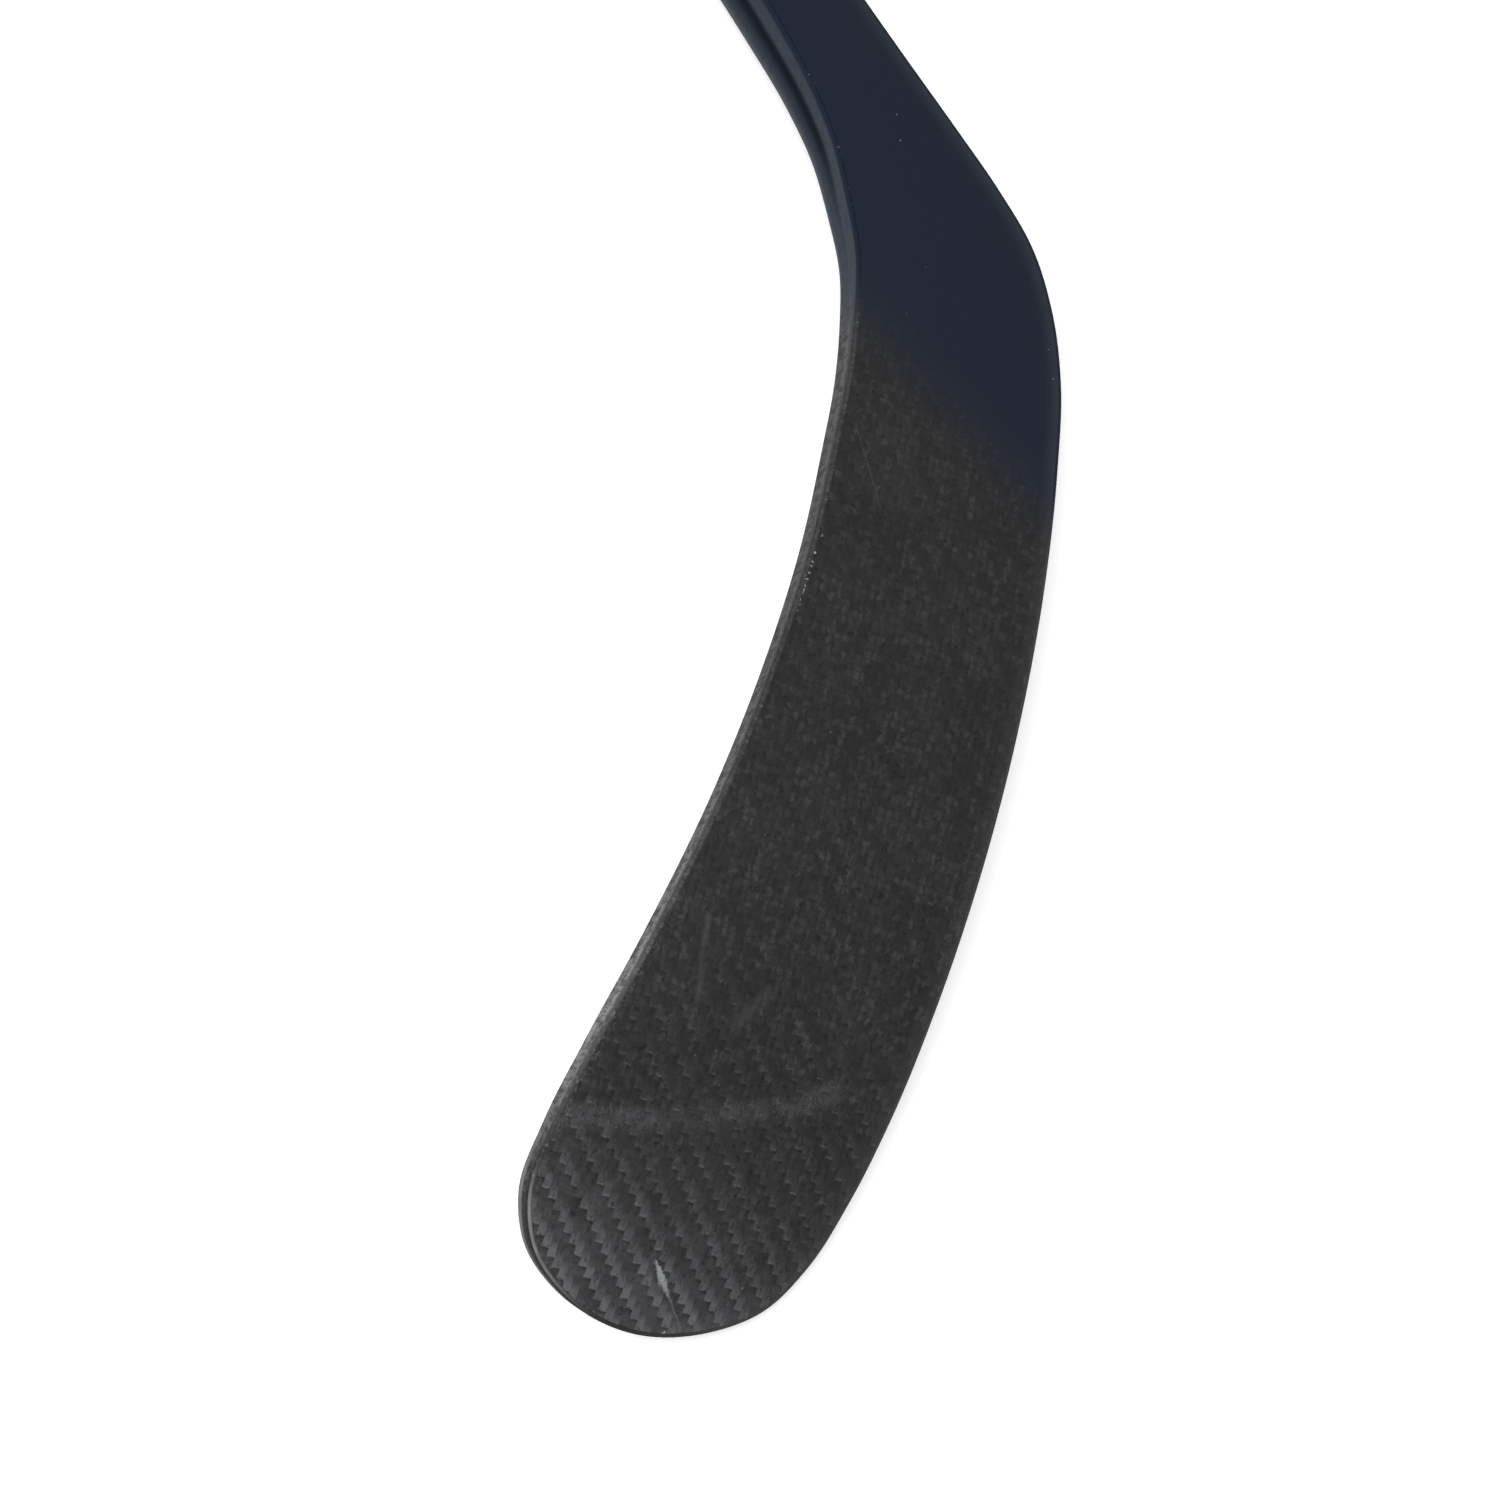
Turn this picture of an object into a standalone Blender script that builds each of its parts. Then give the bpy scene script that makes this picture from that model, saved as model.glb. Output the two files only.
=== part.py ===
"""Left-handed composite ice hockey stick: a curved laminated blade bonded to a hollow tapered shaft.

Everything is drawn flat in the stick frame and the blade is then bent:
+X runs up the shaft from the heel to the butt, with the back edge of the shaft on the X axis,
+Y points to the side that the blade is on, and +Z points out of the backhand (convex) face.
The finished stick is laid on the ground on the back edge of its shaft and the tip of its toe.
All sizes are in metres.
"""

import math

import bmesh
import bpy
import numpy as np
from mathutils import Matrix, Vector

GAP = 0.0003  # bond line between neighbouring pieces

# Shaft
STICK_LENGTH = 1.524  # heel to butt, 60 inches
SHAFT_WIDTH = 0.030
SHAFT_DEPTH = 0.020
SHAFT_CORNER = 0.0042
SHAFT_WALL = 0.0017
LEAST_CORNER = 0.0012  # sharpest corner of an inner surface
GROOVE_DEPTH = 0.0006  # hollow along the middle of both narrow sides
JOINT_X = 0.150  # where the shaft is bonded to the hosel of the blade
JOINT_WIDTH = 0.0240
JOINT_DEPTH = 0.0176
JOINT_CORNER = 0.0013
TAPER_END_X = 0.340

# Blade laminate
LIE = math.radians(130)  # angle between the shaft and the blade
SKIN = 0.0012
BAND = 0.0015  # laminate wrapped round the edge
EDGE_ROUND = 0.0011
BLADE_HEIGHT = 0.077
CROWN = 0.0006  # how much fuller the middle of a face is than its edges, at full blade height

# Blade curve
BEND_START = 0.020  # distance from the heel along the blade
BEND_RAMP = 0.060
BEND_RADIUS = 0.494
BLADE_LENGTH = 0.2788
OPEN_TWIST = math.radians(8.8)  # how far the face opens by the toe
TWIST_HEIGHT = 0.044

# Inner pieces
SPINE = 0.0016
HOSEL_CORE_END = 0.109
TENON = (0.112, 0.215)
TENON_WALL = 0.0020
PLUG = (0.224, 0.304)

# End cap
CAP_FLANGE = 0.006
CAP_STEM = 0.028
CAP_ROUND = 0.0022

REST_ROLL = math.radians(11.59)  # the stick rolls this far about its shaft before the toe touches down

# Ribs of the blade: a point on its back or sole, the point opposite it on its front or top edge, and
# the thickness at the edges. Hosel ribs are measured along and across the shaft.
HOSEL_RIBS = (
    ((0.150, 0.0), (0.150, 0.0240), 0.0176),
    ((0.126, 0.0), (0.127, 0.0247), 0.0168),
    ((0.102, 0.0), (0.105, 0.0267), 0.0159),
    ((0.078, 0.0), (0.086, 0.0294), 0.0145),
    ((0.056, -0.0002), (0.070, 0.0337), 0.0131),
    ((0.037, 0.0), (0.056, 0.0402), 0.0119),
    ((0.021, 0.0018), (0.043, 0.0475), 0.0109),
)
# Blade ribs are measured along the sole from the heel, and up from it.
BLADE_RIBS = (
    ((0.004, 0.0088), (0.024, 0.0610), 0.0100),
    ((0.023, 0.0034), (0.040, 0.0598), 0.0093),
    ((0.046, 0.0007), (0.060, 0.0600), 0.0086),
    ((0.077, -0.0012), (0.087, 0.0607), 0.0080),
    ((0.112, -0.0019), (0.120, 0.0637), 0.0075),
    ((0.150, -0.0011), (0.156, 0.0690), 0.0072),
    ((0.186, 0.0013), (0.191, 0.0764), 0.0069),
    ((0.215, 0.0046), (0.219, 0.0832), 0.0066),
    ((0.236, 0.0085), (0.239, 0.0872), 0.0064),
    ((0.253, 0.0134), (0.2547, 0.0881), 0.0062),
    ((0.2660, 0.0210), (0.2658, 0.0831), 0.0060),
    ((0.2741, 0.0328), (0.2747, 0.0712), 0.0059),
)
TOE_TIP = (BLADE_LENGTH, 0.0500)
TOE_THICKNESS = 0.0058

TIP = len(HOSEL_RIBS) + len(BLADE_RIBS)  # place of the toe tip on the rim
RIM_END = 2 * TIP
HEEL_RIB = 9  # where the solid heel meets the two foam cores
CORE_END_RIB = 18.4
SPINE_END_RIB = 17.6
TOE_RIB = 15.5  # where the toe band meets the sole band and the top band
BAND_SPLIT = 0.010  # half the cut between two bands, in ribs

LAMINATE = (0.030, 0.032, 0.036, 1)
NAVY = (0.016, 0.024, 0.040, 1)
WORN_EDGE = (0.120, 0.125, 0.130, 1)
FOAM = (0.640, 0.610, 0.520, 1)
DENSE_FOAM = (0.480, 0.430, 0.330, 1)
CAP_PLASTIC = (0.020, 0.020, 0.022, 1)


def smooth(t):
    t = min(max(t, 0.0), 1.0)
    return t * t * (3 - 2 * t)


def blade_to_stick(along, up):
    """A point measured along the sole and up from it, in the plane of the stick frame."""
    return (
        along * math.cos(LIE) + up * math.sin(LIE),
        along * math.sin(LIE) - up * math.cos(LIE),
    )


def rim_points():
    """Points round the rim as (x, y, half thickness): down the back, along the sole, and back along the top."""
    back = [Vector((*back, depth / 2)) for back, _, depth in HOSEL_RIBS]
    front = [Vector((*front, depth / 2)) for _, front, depth in HOSEL_RIBS]
    sole = [Vector((*blade_to_stick(*sole), depth / 2)) for sole, _, depth in BLADE_RIBS]
    top = [Vector((*blade_to_stick(*top), depth / 2)) for _, top, depth in BLADE_RIBS]
    tip = Vector((*blade_to_stick(*TOE_TIP), TOE_THICKNESS / 2))
    return back + sole + [tip] + top[::-1] + front[::-1]


RIM = rim_points()


def knot_slope(i):
    """Slope of the rim at point i, per metre of chord."""
    if i == 0:
        return (RIM[1] - RIM[0]) / (RIM[1] - RIM[0]).length
    if i == RIM_END:
        return (RIM[-1] - RIM[-2]) / (RIM[-1] - RIM[-2]).length
    before, after = RIM[i] - RIM[i - 1], RIM[i + 1] - RIM[i]
    return (before * after.length / before.length + after * before.length / after.length) / (
        before.length + after.length
    )


def rim(k):
    """Point on the smooth rim at place k, and its inward normal in the plane."""
    i = min(int(k), RIM_END - 1)
    t = k - i
    start, end = RIM[i], RIM[i + 1]
    chord = (end - start).length
    leave, arrive = knot_slope(i) * chord, knot_slope(i + 1) * chord
    point = (
        start * (1 + 2 * t) * (1 - t) ** 2
        + leave * t * (1 - t) ** 2
        + end * t * t * (3 - 2 * t)
        + arrive * t * t * (t - 1)
    )
    slope = (
        (end - start) * 6 * t * (1 - t)
        + leave * (1 - t) * (1 - 3 * t)
        + arrive * t * (3 * t - 2)
    )
    return point, Vector((slope.y, -slope.x, 0)).normalized()


def inset_rim(k, depth):
    point, inward = rim(k)
    return point + inward * depth


def blade_curve():
    """Distance ahead, drop and turn of the blade's middle surface for each distance along it."""
    along = np.linspace(0, 0.300, 601)
    ramp = np.clip((along - BEND_START) / BEND_RAMP, 0, 1)
    curvature = ramp * ramp * (3 - 2 * ramp) / BEND_RADIUS
    step = along[1]
    turn = np.cumsum(curvature) * step
    return along, np.cumsum(np.cos(turn)) * step - step, np.cumsum(np.sin(turn)) * step, turn


CURVE = blade_curve()
TOEWARD = Vector((*blade_to_stick(1, 0), 0))
UPWARD = Vector((*blade_to_stick(0, 1), 0))
OUTWARD = Vector((0, 0, 1))


def bent(x, y, z):
    """Where a point of the flat stick goes when the blade is bent and its face opened."""
    flat = Vector((x, y, 0))
    along, up = flat.dot(TOEWARD), flat.dot(UPWARD)
    if along <= 0:
        return Vector((x, y, z))
    ahead, drop, turn = (float(np.interp(along, CURVE[0], column)) for column in CURVE[1:])
    twist = OPEN_TWIST * (along / BLADE_LENGTH) ** 1.5
    above = up - TWIST_HEIGHT
    raised = TWIST_HEIGHT + above * math.cos(twist) - z * math.sin(twist)
    proud = above * math.sin(twist) + z * math.cos(twist)
    normal = TOEWARD * math.sin(turn) + OUTWARD * math.cos(turn)
    return TOEWARD * ahead + UPWARD * raised - OUTWARD * drop + normal * proud


def material(name, color, roughness, metallic=0.0):
    made = bpy.data.materials.new(name)
    made.use_nodes = True
    shader = made.node_tree.nodes["Principled BSDF"]
    shader.inputs["Base Color"].default_value = color
    shader.inputs["Roughness"].default_value = roughness
    shader.inputs["Metallic"].default_value = metallic
    return made


def solid(name, shape, look):
    """Turns a closed bmesh into a named object, with its faces pointing out and smooth shading."""
    bmesh.ops.remove_doubles(shape, verts=shape.verts, dist=1e-6)
    bmesh.ops.dissolve_degenerate(shape, edges=shape.edges, dist=1e-7)
    bmesh.ops.recalc_face_normals(shape, faces=shape.faces)
    mesh = bpy.data.meshes.new(name)
    shape.to_mesh(mesh)
    shape.free()
    mesh.shade_smooth()
    mesh.set_sharp_from_angle(angle=math.radians(35))
    mesh.materials.append(look)
    made = bpy.data.objects.new(name, mesh)
    bpy.context.scene.collection.objects.link(made)
    return made


def skin_between(shape, first, second, closed=False):
    """Quads between two rows of vertices."""
    count = len(first)
    for j in range(count if closed else count - 1):
        following = (j + 1) % count
        shape.faces.new((first[j], first[following], second[following], second[j]))


def loft(name, rings, look):
    """A solid through closed rings of points, with flat ends."""
    shape = bmesh.new()
    rows = [[shape.verts.new(point) for point in ring] for ring in rings]
    for first, second in zip(rows, rows[1:]):
        skin_between(shape, first, second, closed=True)
    shape.faces.new(rows[0])
    shape.faces.new(rows[-1])
    return solid(name, shape, look)


def tube(name, outer, inner, look):
    """A hollow loft, open at both ends."""
    shape = bmesh.new()
    outside = [[shape.verts.new(point) for point in ring] for ring in outer]
    inside = [[shape.verts.new(point) for point in ring] for ring in inner]
    for rows in (outside, inside):
        for first, second in zip(rows, rows[1:]):
            skin_between(shape, first, second, closed=True)
    for end in (0, -1):
        skin_between(shape, outside[end], inside[end], closed=True)
    return solid(name, shape, look)


def slab(name, upper, lower, look):
    """A solid between two sheets, each given as rows of points."""
    shape = bmesh.new()
    top = [[shape.verts.new(point) for point in row] for row in upper]
    base = [[shape.verts.new(point) for point in row] for row in lower]
    for rows in (top, base):
        for first, second in zip(rows, rows[1:]):
            skin_between(shape, first, second)
    skin_between(shape, top[0], base[0])
    skin_between(shape, top[-1], base[-1])
    for side in (0, -1):
        skin_between(shape, [row[side] for row in top], [row[side] for row in base])
    return solid(name, shape, look)


def places(start, end, per_rib=3):
    """Places along the rim from start to end, closer together round the toe."""
    found = [start]
    while found[-1] < end - 1e-6:
        finer = 2 if abs(found[-1] - TIP) < 3 else 1
        found.append(min(found[-1] + 1 / (per_rib * finer), end))
    return found


def across(k, near, far, columns):
    """Points of the middle surface at rib k, as (x, y, half thickness), from near to far along the rib.

    near and far take the width of the rib and return distances from its lower end.
    """
    low, high = inset_rim(k, BAND + GAP), inset_rim(RIM_END - k, BAND + GAP)
    width = math.dist(low.xy, high.xy)
    found = []
    for j in range(columns + 1):
        reach = near(width) + (far(width) - near(width)) * j / columns
        share = reach / width if width > 1e-6 else 0.0
        point = low.lerp(high, share)
        point.z += CROWN * width / BLADE_HEIGHT * 4 * share * (1 - share)
        found.append(point)
    return found


def lower_end(_width):
    return 0.0


def upper_end(width):
    return width


def sheet(start, end, near, far, columns, height):
    """Rows of bent points at the height that the half thickness gives."""
    return [
        [bent(p.x, p.y, height(p.z)) for p in across(k, near, far, columns)]
        for k in places(start, end)
    ]


def face_skin(name, side, look):
    """One face of the blade and the hosel; side is +1 for backhand and -1 for forehand."""
    outer = sheet(0, TIP, lower_end, upper_end, 6, lambda half: side * half)
    inner = sheet(0, TIP, lower_end, upper_end, 6, lambda half: side * (half - SKIN))
    return slab(name, outer, inner, look)


def core(name, start, end, near, far, columns, look):
    """A filling piece between the two skins."""
    room = SKIN + GAP
    upper = sheet(start, end, near, far, columns, lambda half: half - room)
    lower = sheet(start, end, near, far, columns, lambda half: room - half)
    return slab(name, upper, lower, look)


def groove_at(k):
    """Depth of the hollow in the narrow side, which fades out round the heel."""
    rib = min(k, RIM_END - k)
    return GROOVE_DEPTH * (1 - smooth((rib - 3) / 4))


def edge_profile(half, groove):
    """Outline of the edge band as (inset, height) points, from its backhand side to its forehand side."""
    turn = [math.radians(a) for a in (90, 120, 150, 180)]
    corner = [
        (EDGE_ROUND + EDGE_ROUND * math.cos(a), half - EDGE_ROUND + EDGE_ROUND * math.sin(a))
        for a in turn
    ]
    flat = half - EDGE_ROUND
    hollow = [(groove * (1 - h * h), flat * h) for h in (0.5, 0.0, -0.5)]
    mirrored = [(inset, -height) for inset, height in reversed(corner)]
    return [(BAND, half)] + corner + hollow + mirrored + [(BAND, -half)]


def edge_band(name, start, end, look):
    rings = []
    for k in places(start, end):
        point, inward = rim(k)
        ring = []
        for inset, height in edge_profile(point.z, groove_at(k)):
            at = point + inward * inset
            ring.append(bent(at.x, at.y, height))
        rings.append(ring)
    return loft(name, rings, look)


def shaft_size(x):
    """Width, depth and corner radius of the shaft at x."""
    t = smooth((x - JOINT_X) / (TAPER_END_X - JOINT_X))
    return (
        JOINT_WIDTH + (SHAFT_WIDTH - JOINT_WIDTH) * t,
        JOINT_DEPTH + (SHAFT_DEPTH - JOINT_DEPTH) * t,
        JOINT_CORNER + (SHAFT_CORNER - JOINT_CORNER) * t,
    )


def shaft_ring(x, inset, at=None):
    """Rounded rectangle of the shaft's section, drawn inset from its outside, with hollow narrow sides."""
    width, depth, corner = shaft_size(x)
    corner = max(corner - inset, LEAST_CORNER)
    middle = width / 2
    half_wide, half_deep = middle - inset, depth / 2 - inset
    ring = []
    for quarter, (sy, sz) in enumerate(((1, 1), (-1, 1), (-1, -1), (1, -1))):
        for step in range(5):
            a = math.radians(90 * quarter + 22.5 * step)
            y = middle + sy * (half_wide - corner) + corner * math.cos(a)
            z = sz * (half_deep - corner) + corner * math.sin(a)
            ring.append((y, z))
        if quarter in (1, 3):
            flat = half_deep - corner
            side = -1 if quarter == 1 else 1
            for h in (0.5, 0.0, -0.5):
                hollow = GROOVE_DEPTH * (1 - h * h)
                ring.append((middle + side * (half_wide - hollow), -side * flat * h))
    where = x if at is None else at
    return [Vector((where, y, z)) for y, z in ring]


def shaft_stations(start, end):
    """Ring positions, close together only where the shaft tapers."""
    taper = [JOINT_X + (TAPER_END_X - JOINT_X) * i / 8 for i in range(9)]
    return [start] + [x for x in taper if start + 0.001 < x < end - 0.001] + [end]


def shaft_tube(look):
    stations = shaft_stations(JOINT_X + GAP, STICK_LENGTH - CAP_FLANGE - GAP)
    outer = [shaft_ring(x, 0.0) for x in stations]
    inner = [shaft_ring(x, SHAFT_WALL) for x in stations]
    return tube("shaft_tube", outer, inner, look)


def hosel_tenon(look):
    fit = SHAFT_WALL + 2 * GAP
    stations = shaft_stations(*TENON)
    outer = [shaft_ring(x, fit) for x in stations]
    inner = [shaft_ring(x, fit + TENON_WALL) for x in stations]
    return tube("hosel_tenon", outer, inner, look)


def tenon_core(look):
    fit = SHAFT_WALL + 3 * GAP + TENON_WALL
    return loft("tenon_core", [shaft_ring(x, fit) for x in shaft_stations(*TENON)], look)


def shaft_plug(look):
    fit = SHAFT_WALL + GAP
    return loft("shaft_plug", [shaft_ring(x, fit) for x in shaft_stations(*PLUG)], look)


def end_cap(look):
    """Plug with a flange as wide as the shaft, its outer rim rounded over."""
    x = STICK_LENGTH
    fit = SHAFT_WALL + GAP
    under = x - CAP_FLANGE
    rings = [
        shaft_ring(x, fit + 0.0006, at=under - CAP_STEM),
        shaft_ring(x, fit, at=under - CAP_STEM + 0.002),
        shaft_ring(x, fit, at=under),
        shaft_ring(x, 0.0, at=under),
    ]
    for step in range(4):
        a = math.radians(30 * step)
        inset = CAP_ROUND * (1 - math.cos(a))
        rings.append(shaft_ring(x, inset, at=x - CAP_ROUND + CAP_ROUND * math.sin(a)))
    return loft("end_cap", rings, look)


def laid_on_ground(pieces):
    """Rolls the stick on to the ground, with the middle of its underside at the origin."""
    roll = Matrix.Rotation(REST_ROLL, 4, "X")
    corners = [roll @ vert.co for piece in pieces for vert in piece.data.vertices]
    low = Vector([min(c[i] for c in corners) for i in range(3)])
    high = Vector([max(c[i] for c in corners) for i in range(3)])
    stick = bpy.data.objects.new("stick_frame", None)
    bpy.context.scene.collection.objects.link(stick)
    stick.matrix_world = Matrix.Translation((-(low.x + high.x) / 2, -(low.y + high.y) / 2, -low.z)) @ roll
    for piece in pieces:
        piece.parent = stick


def build():
    for old in list(bpy.data.objects):
        bpy.data.objects.remove(old)

    weave = material("carbon_weave", LAMINATE, 0.42)
    weave_back = material("carbon_weave_forehand", LAMINATE, 0.42)
    worn = material("worn_edge_laminate", WORN_EDGE, 0.55)
    toe = material("toe_edge_laminate", LAMINATE, 0.45)
    sole = material("sole_edge_laminate", LAMINATE, 0.50)
    paint = material("painted_shaft", NAVY, 0.45)
    raw = material("raw_laminate", LAMINATE, 0.60)
    spine_look = material("spine_laminate", LAMINATE, 0.60)
    foam = material("upper_foam", FOAM, 0.90)
    foam_low = material("lower_foam", FOAM, 0.90)
    dense = material("heel_foam", DENSE_FOAM, 0.85)
    tenon_foam = material("tenon_foam", DENSE_FOAM, 0.85)
    plug_foam = material("plug_foam", FOAM, 0.90)
    plastic = material("cap_plastic", CAP_PLASTIC, 0.50)

    hosel_core_rib = 2 - (HOSEL_CORE_END - HOSEL_RIBS[2][0][0]) / (HOSEL_RIBS[1][0][0] - HOSEL_RIBS[2][0][0])
    web = SPINE / 2
    pieces = [
        face_skin("backhand_skin", 1, weave),
        face_skin("forehand_skin", -1, weave_back),
        edge_band("sole_edge_band", 0, TOE_RIB - BAND_SPLIT, sole),
        edge_band("toe_edge_band", TOE_RIB + BAND_SPLIT, RIM_END - TOE_RIB - BAND_SPLIT, toe),
        edge_band("top_edge_band", RIM_END - TOE_RIB + BAND_SPLIT, RIM_END, worn),
        core("heel_core", hosel_core_rib, HEEL_RIB - BAND_SPLIT, lower_end, upper_end, 5, dense),
        core("lower_core", HEEL_RIB + BAND_SPLIT, CORE_END_RIB, lower_end,
             lambda width: width / 2 - web - GAP, 3, foam_low),
        core("upper_core", HEEL_RIB + BAND_SPLIT, CORE_END_RIB,
             lambda width: width / 2 + web + GAP, upper_end, 3, foam),
        core("spine_rib", HEEL_RIB + BAND_SPLIT, SPINE_END_RIB,
             lambda width: width / 2 - web, lambda width: width / 2 + web, 1, spine_look),
        hosel_tenon(raw),
        tenon_core(tenon_foam),
        shaft_tube(paint),
        shaft_plug(plug_foam),
        end_cap(plastic),
    ]
    laid_on_ground(pieces)


build()
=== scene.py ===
"""Looks of a left-handed composite ice hockey stick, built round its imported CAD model.

The laminates, the shaft and the end cap are modelled again finely, in the stick frame:
+X runs up the shaft from the heel to the butt, with the back edge of the shaft on the X axis,
+Y points to the side that the blade is on, and +Z points out of the backhand (convex) face.
Sizes are in metres. Materials work in millimetres of the flat blade, which each vertex carries.
"""

import math

import bmesh
import bpy
import numpy as np
from mathutils import Matrix, Vector


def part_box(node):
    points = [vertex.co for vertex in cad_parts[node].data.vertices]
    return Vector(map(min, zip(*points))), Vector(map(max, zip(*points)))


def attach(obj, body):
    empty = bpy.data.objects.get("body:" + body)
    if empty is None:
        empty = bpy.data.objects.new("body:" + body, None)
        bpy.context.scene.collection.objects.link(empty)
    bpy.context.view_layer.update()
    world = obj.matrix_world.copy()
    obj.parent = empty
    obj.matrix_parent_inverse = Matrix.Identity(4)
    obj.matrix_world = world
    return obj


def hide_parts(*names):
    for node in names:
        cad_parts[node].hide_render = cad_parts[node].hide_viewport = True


# Shaft
STICK_LENGTH = 1.524
SHAFT_WIDTH, SHAFT_DEPTH, SHAFT_CORNER = 0.030, 0.020, 0.0042
JOINT_X = 0.150  # where the shaft is bonded to the hosel
JOINT_WIDTH, JOINT_DEPTH, JOINT_CORNER = 0.0240, 0.0176, 0.0008
TAPER_END_X = 0.340
SHAFT_WALL = 0.0017
LEAST_CORNER = 0.0006  # sharpest corner of an inner surface
CAP_FLANGE, CAP_STEM, CAP_ROUND = 0.006, 0.028, 0.0022
CAP_PLAY = 0.0003  # between the stem and the shaft's wall
CAP_EDGE = 0.0003  # rounding beside the shaft
REST_ROLL = math.radians(11.59)  # about the shaft, which lays the toe on the ground

# Blade laminate
LIE = math.radians(130)  # angle between the shaft and the blade
SKIN = 0.0012  # thickness of a face
BAND = 0.0015  # thickness of the laminate round the edge
EDGE_ROUND = 0.0008
LIP = 0.0003  # flat rim of the edge band beside the face
BLADE_HEIGHT = 0.077
CROWN = 0.0006  # how much fuller the middle of a face is than its edges, at full blade height
HOLLOW = 0.00035  # wide hollow along the narrow sides
VALLEY = 0.00065  # narrow valley in that hollow
VALLEY_WIDTH = 0.18  # as a share of half the side
SHAFT_HOLLOW = 1.7  # depth of the hollow on the full shaft, as a share of the hosel's

# Blade curve
BEND_START, BEND_RAMP, BEND_RADIUS = 0.020, 0.060, 0.494
BLADE_LENGTH = 0.2788
CURVE_REACH, CURVE_STEPS = 0.300, 600
OPEN_TWIST = math.radians(8.8)  # how far the face opens by the toe
TWIST_HEIGHT = 0.044

# Ribs: back or sole point, front or top point, edge thickness. Hosel ribs are measured along and
# across the shaft, blade ribs along the sole and up from it.
HOSEL_RIBS = (
    ((0.150, 0.0), (0.150, 0.0240), 0.0176),
    ((0.126, 0.0), (0.127, 0.0247), 0.0168),
    ((0.102, 0.0), (0.105, 0.0267), 0.0159),
    ((0.078, 0.0), (0.086, 0.0294), 0.0145),
    ((0.056, -0.0002), (0.070, 0.0337), 0.0131),
    ((0.037, 0.0), (0.056, 0.0402), 0.0119),
    ((0.021, 0.0018), (0.043, 0.0475), 0.0109),
)
BLADE_RIBS = (
    ((0.004, 0.0088), (0.024, 0.0610), 0.0100),
    ((0.023, 0.0034), (0.040, 0.0598), 0.0093),
    ((0.046, 0.0007), (0.060, 0.0600), 0.0086),
    ((0.077, -0.0012), (0.087, 0.0607), 0.0080),
    ((0.112, -0.0019), (0.120, 0.0637), 0.0075),
    ((0.150, -0.0011), (0.156, 0.0690), 0.0072),
    ((0.186, 0.0013), (0.191, 0.0764), 0.0069),
    ((0.215, 0.0046), (0.219, 0.0832), 0.0066),
    ((0.236, 0.0085), (0.239, 0.0872), 0.0064),
    ((0.253, 0.0134), (0.2547, 0.0881), 0.0062),
    ((0.2660, 0.0210), (0.2658, 0.0831), 0.0060),
    ((0.2741, 0.0328), (0.2747, 0.0712), 0.0059),
)
TOE_TIP = (BLADE_LENGTH, 0.0500)
TOE_THICKNESS = 0.0058

# Places on the rim, counted in ribs from the back of the joint, round the toe tip, to its front
TIP = len(HOSEL_RIBS) + len(BLADE_RIBS)
RIM_END = 2 * TIP
TOE_RIB = 15.5  # where the sole and top bands end and the toe band begins, from either end
BAND_SPLIT = 0.0005  # half the gap between bands

# Mesh fineness
STEPS_PER_RIB = 8
FACE_COLUMNS = 36
CORNER_STEPS = 6
SHAFT_CORNER_STEPS = 8
SIDE_STEPS = 24
MM = 1000


def smooth(t):
    """Smooth step from 0 to 1."""
    t = np.clip(t, 0, 1)
    return t * t * (3 - 2 * t)


# ---------------------------------------------------------------- the stick's shape

def blade_to_stick(along, up):
    """A point measured along the sole and up from it, in the plane of the stick frame."""
    return (
        along * math.cos(LIE) + up * math.sin(LIE),
        along * math.sin(LIE) - up * math.cos(LIE),
    )


TOEWARD = np.array((*blade_to_stick(1, 0), 0))
UPWARD = np.array((*blade_to_stick(0, 1), 0))
OUTWARD = np.array((0.0, 0.0, 1.0))


def rim_points():
    """Points round the rim as (x, y, half thickness): down the back, along the sole, back along the top."""
    back = [(*back, depth / 2) for back, _, depth in HOSEL_RIBS]
    front = [(*front, depth / 2) for _, front, depth in HOSEL_RIBS]
    sole = [(*blade_to_stick(*sole), depth / 2) for sole, _, depth in BLADE_RIBS]
    top = [(*blade_to_stick(*top), depth / 2) for _, top, depth in BLADE_RIBS]
    tip = (*blade_to_stick(*TOE_TIP), TOE_THICKNESS / 2)
    return np.array(back + sole + [tip] + top[::-1] + front[::-1])


def rim_slopes(points):
    """Slope of the rim at each of its points, per metre of chord."""
    steps = np.diff(points, axis=0)
    chords = np.linalg.norm(steps, axis=1, keepdims=True)
    ahead, behind = chords[1:], chords[:-1]
    inner = (steps[:-1] * ahead / behind + steps[1:] * behind / ahead) / (ahead + behind)
    return np.vstack([steps[:1] / chords[:1], inner, steps[-1:] / chords[-1:]])


RIM = rim_points()
RIM_SLOPE = rim_slopes(RIM)


def rim(k):
    """Points on the smooth rim at places k, and the inward normals there."""
    k = np.asarray(k, float)
    i = np.minimum(k.astype(int), RIM_END - 1)
    t = (k - i)[..., None]
    start, end = RIM[i], RIM[i + 1]
    chord = np.linalg.norm(end - start, axis=-1, keepdims=True)
    leave, arrive = RIM_SLOPE[i] * chord, RIM_SLOPE[i + 1] * chord
    point = (
        start * (1 + 2 * t) * (1 - t) ** 2
        + leave * t * (1 - t) ** 2
        + end * t * t * (3 - 2 * t)
        + arrive * t * t * (t - 1)
    )
    slope = (
        (end - start) * 6 * t * (1 - t)
        + leave * (1 - t) * (1 - 3 * t)
        + arrive * t * (3 * t - 2)
    )
    inward = np.stack([slope[..., 1], -slope[..., 0], np.zeros(slope.shape[:-1])], axis=-1)
    return point, inward / np.linalg.norm(inward, axis=-1, keepdims=True)


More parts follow.
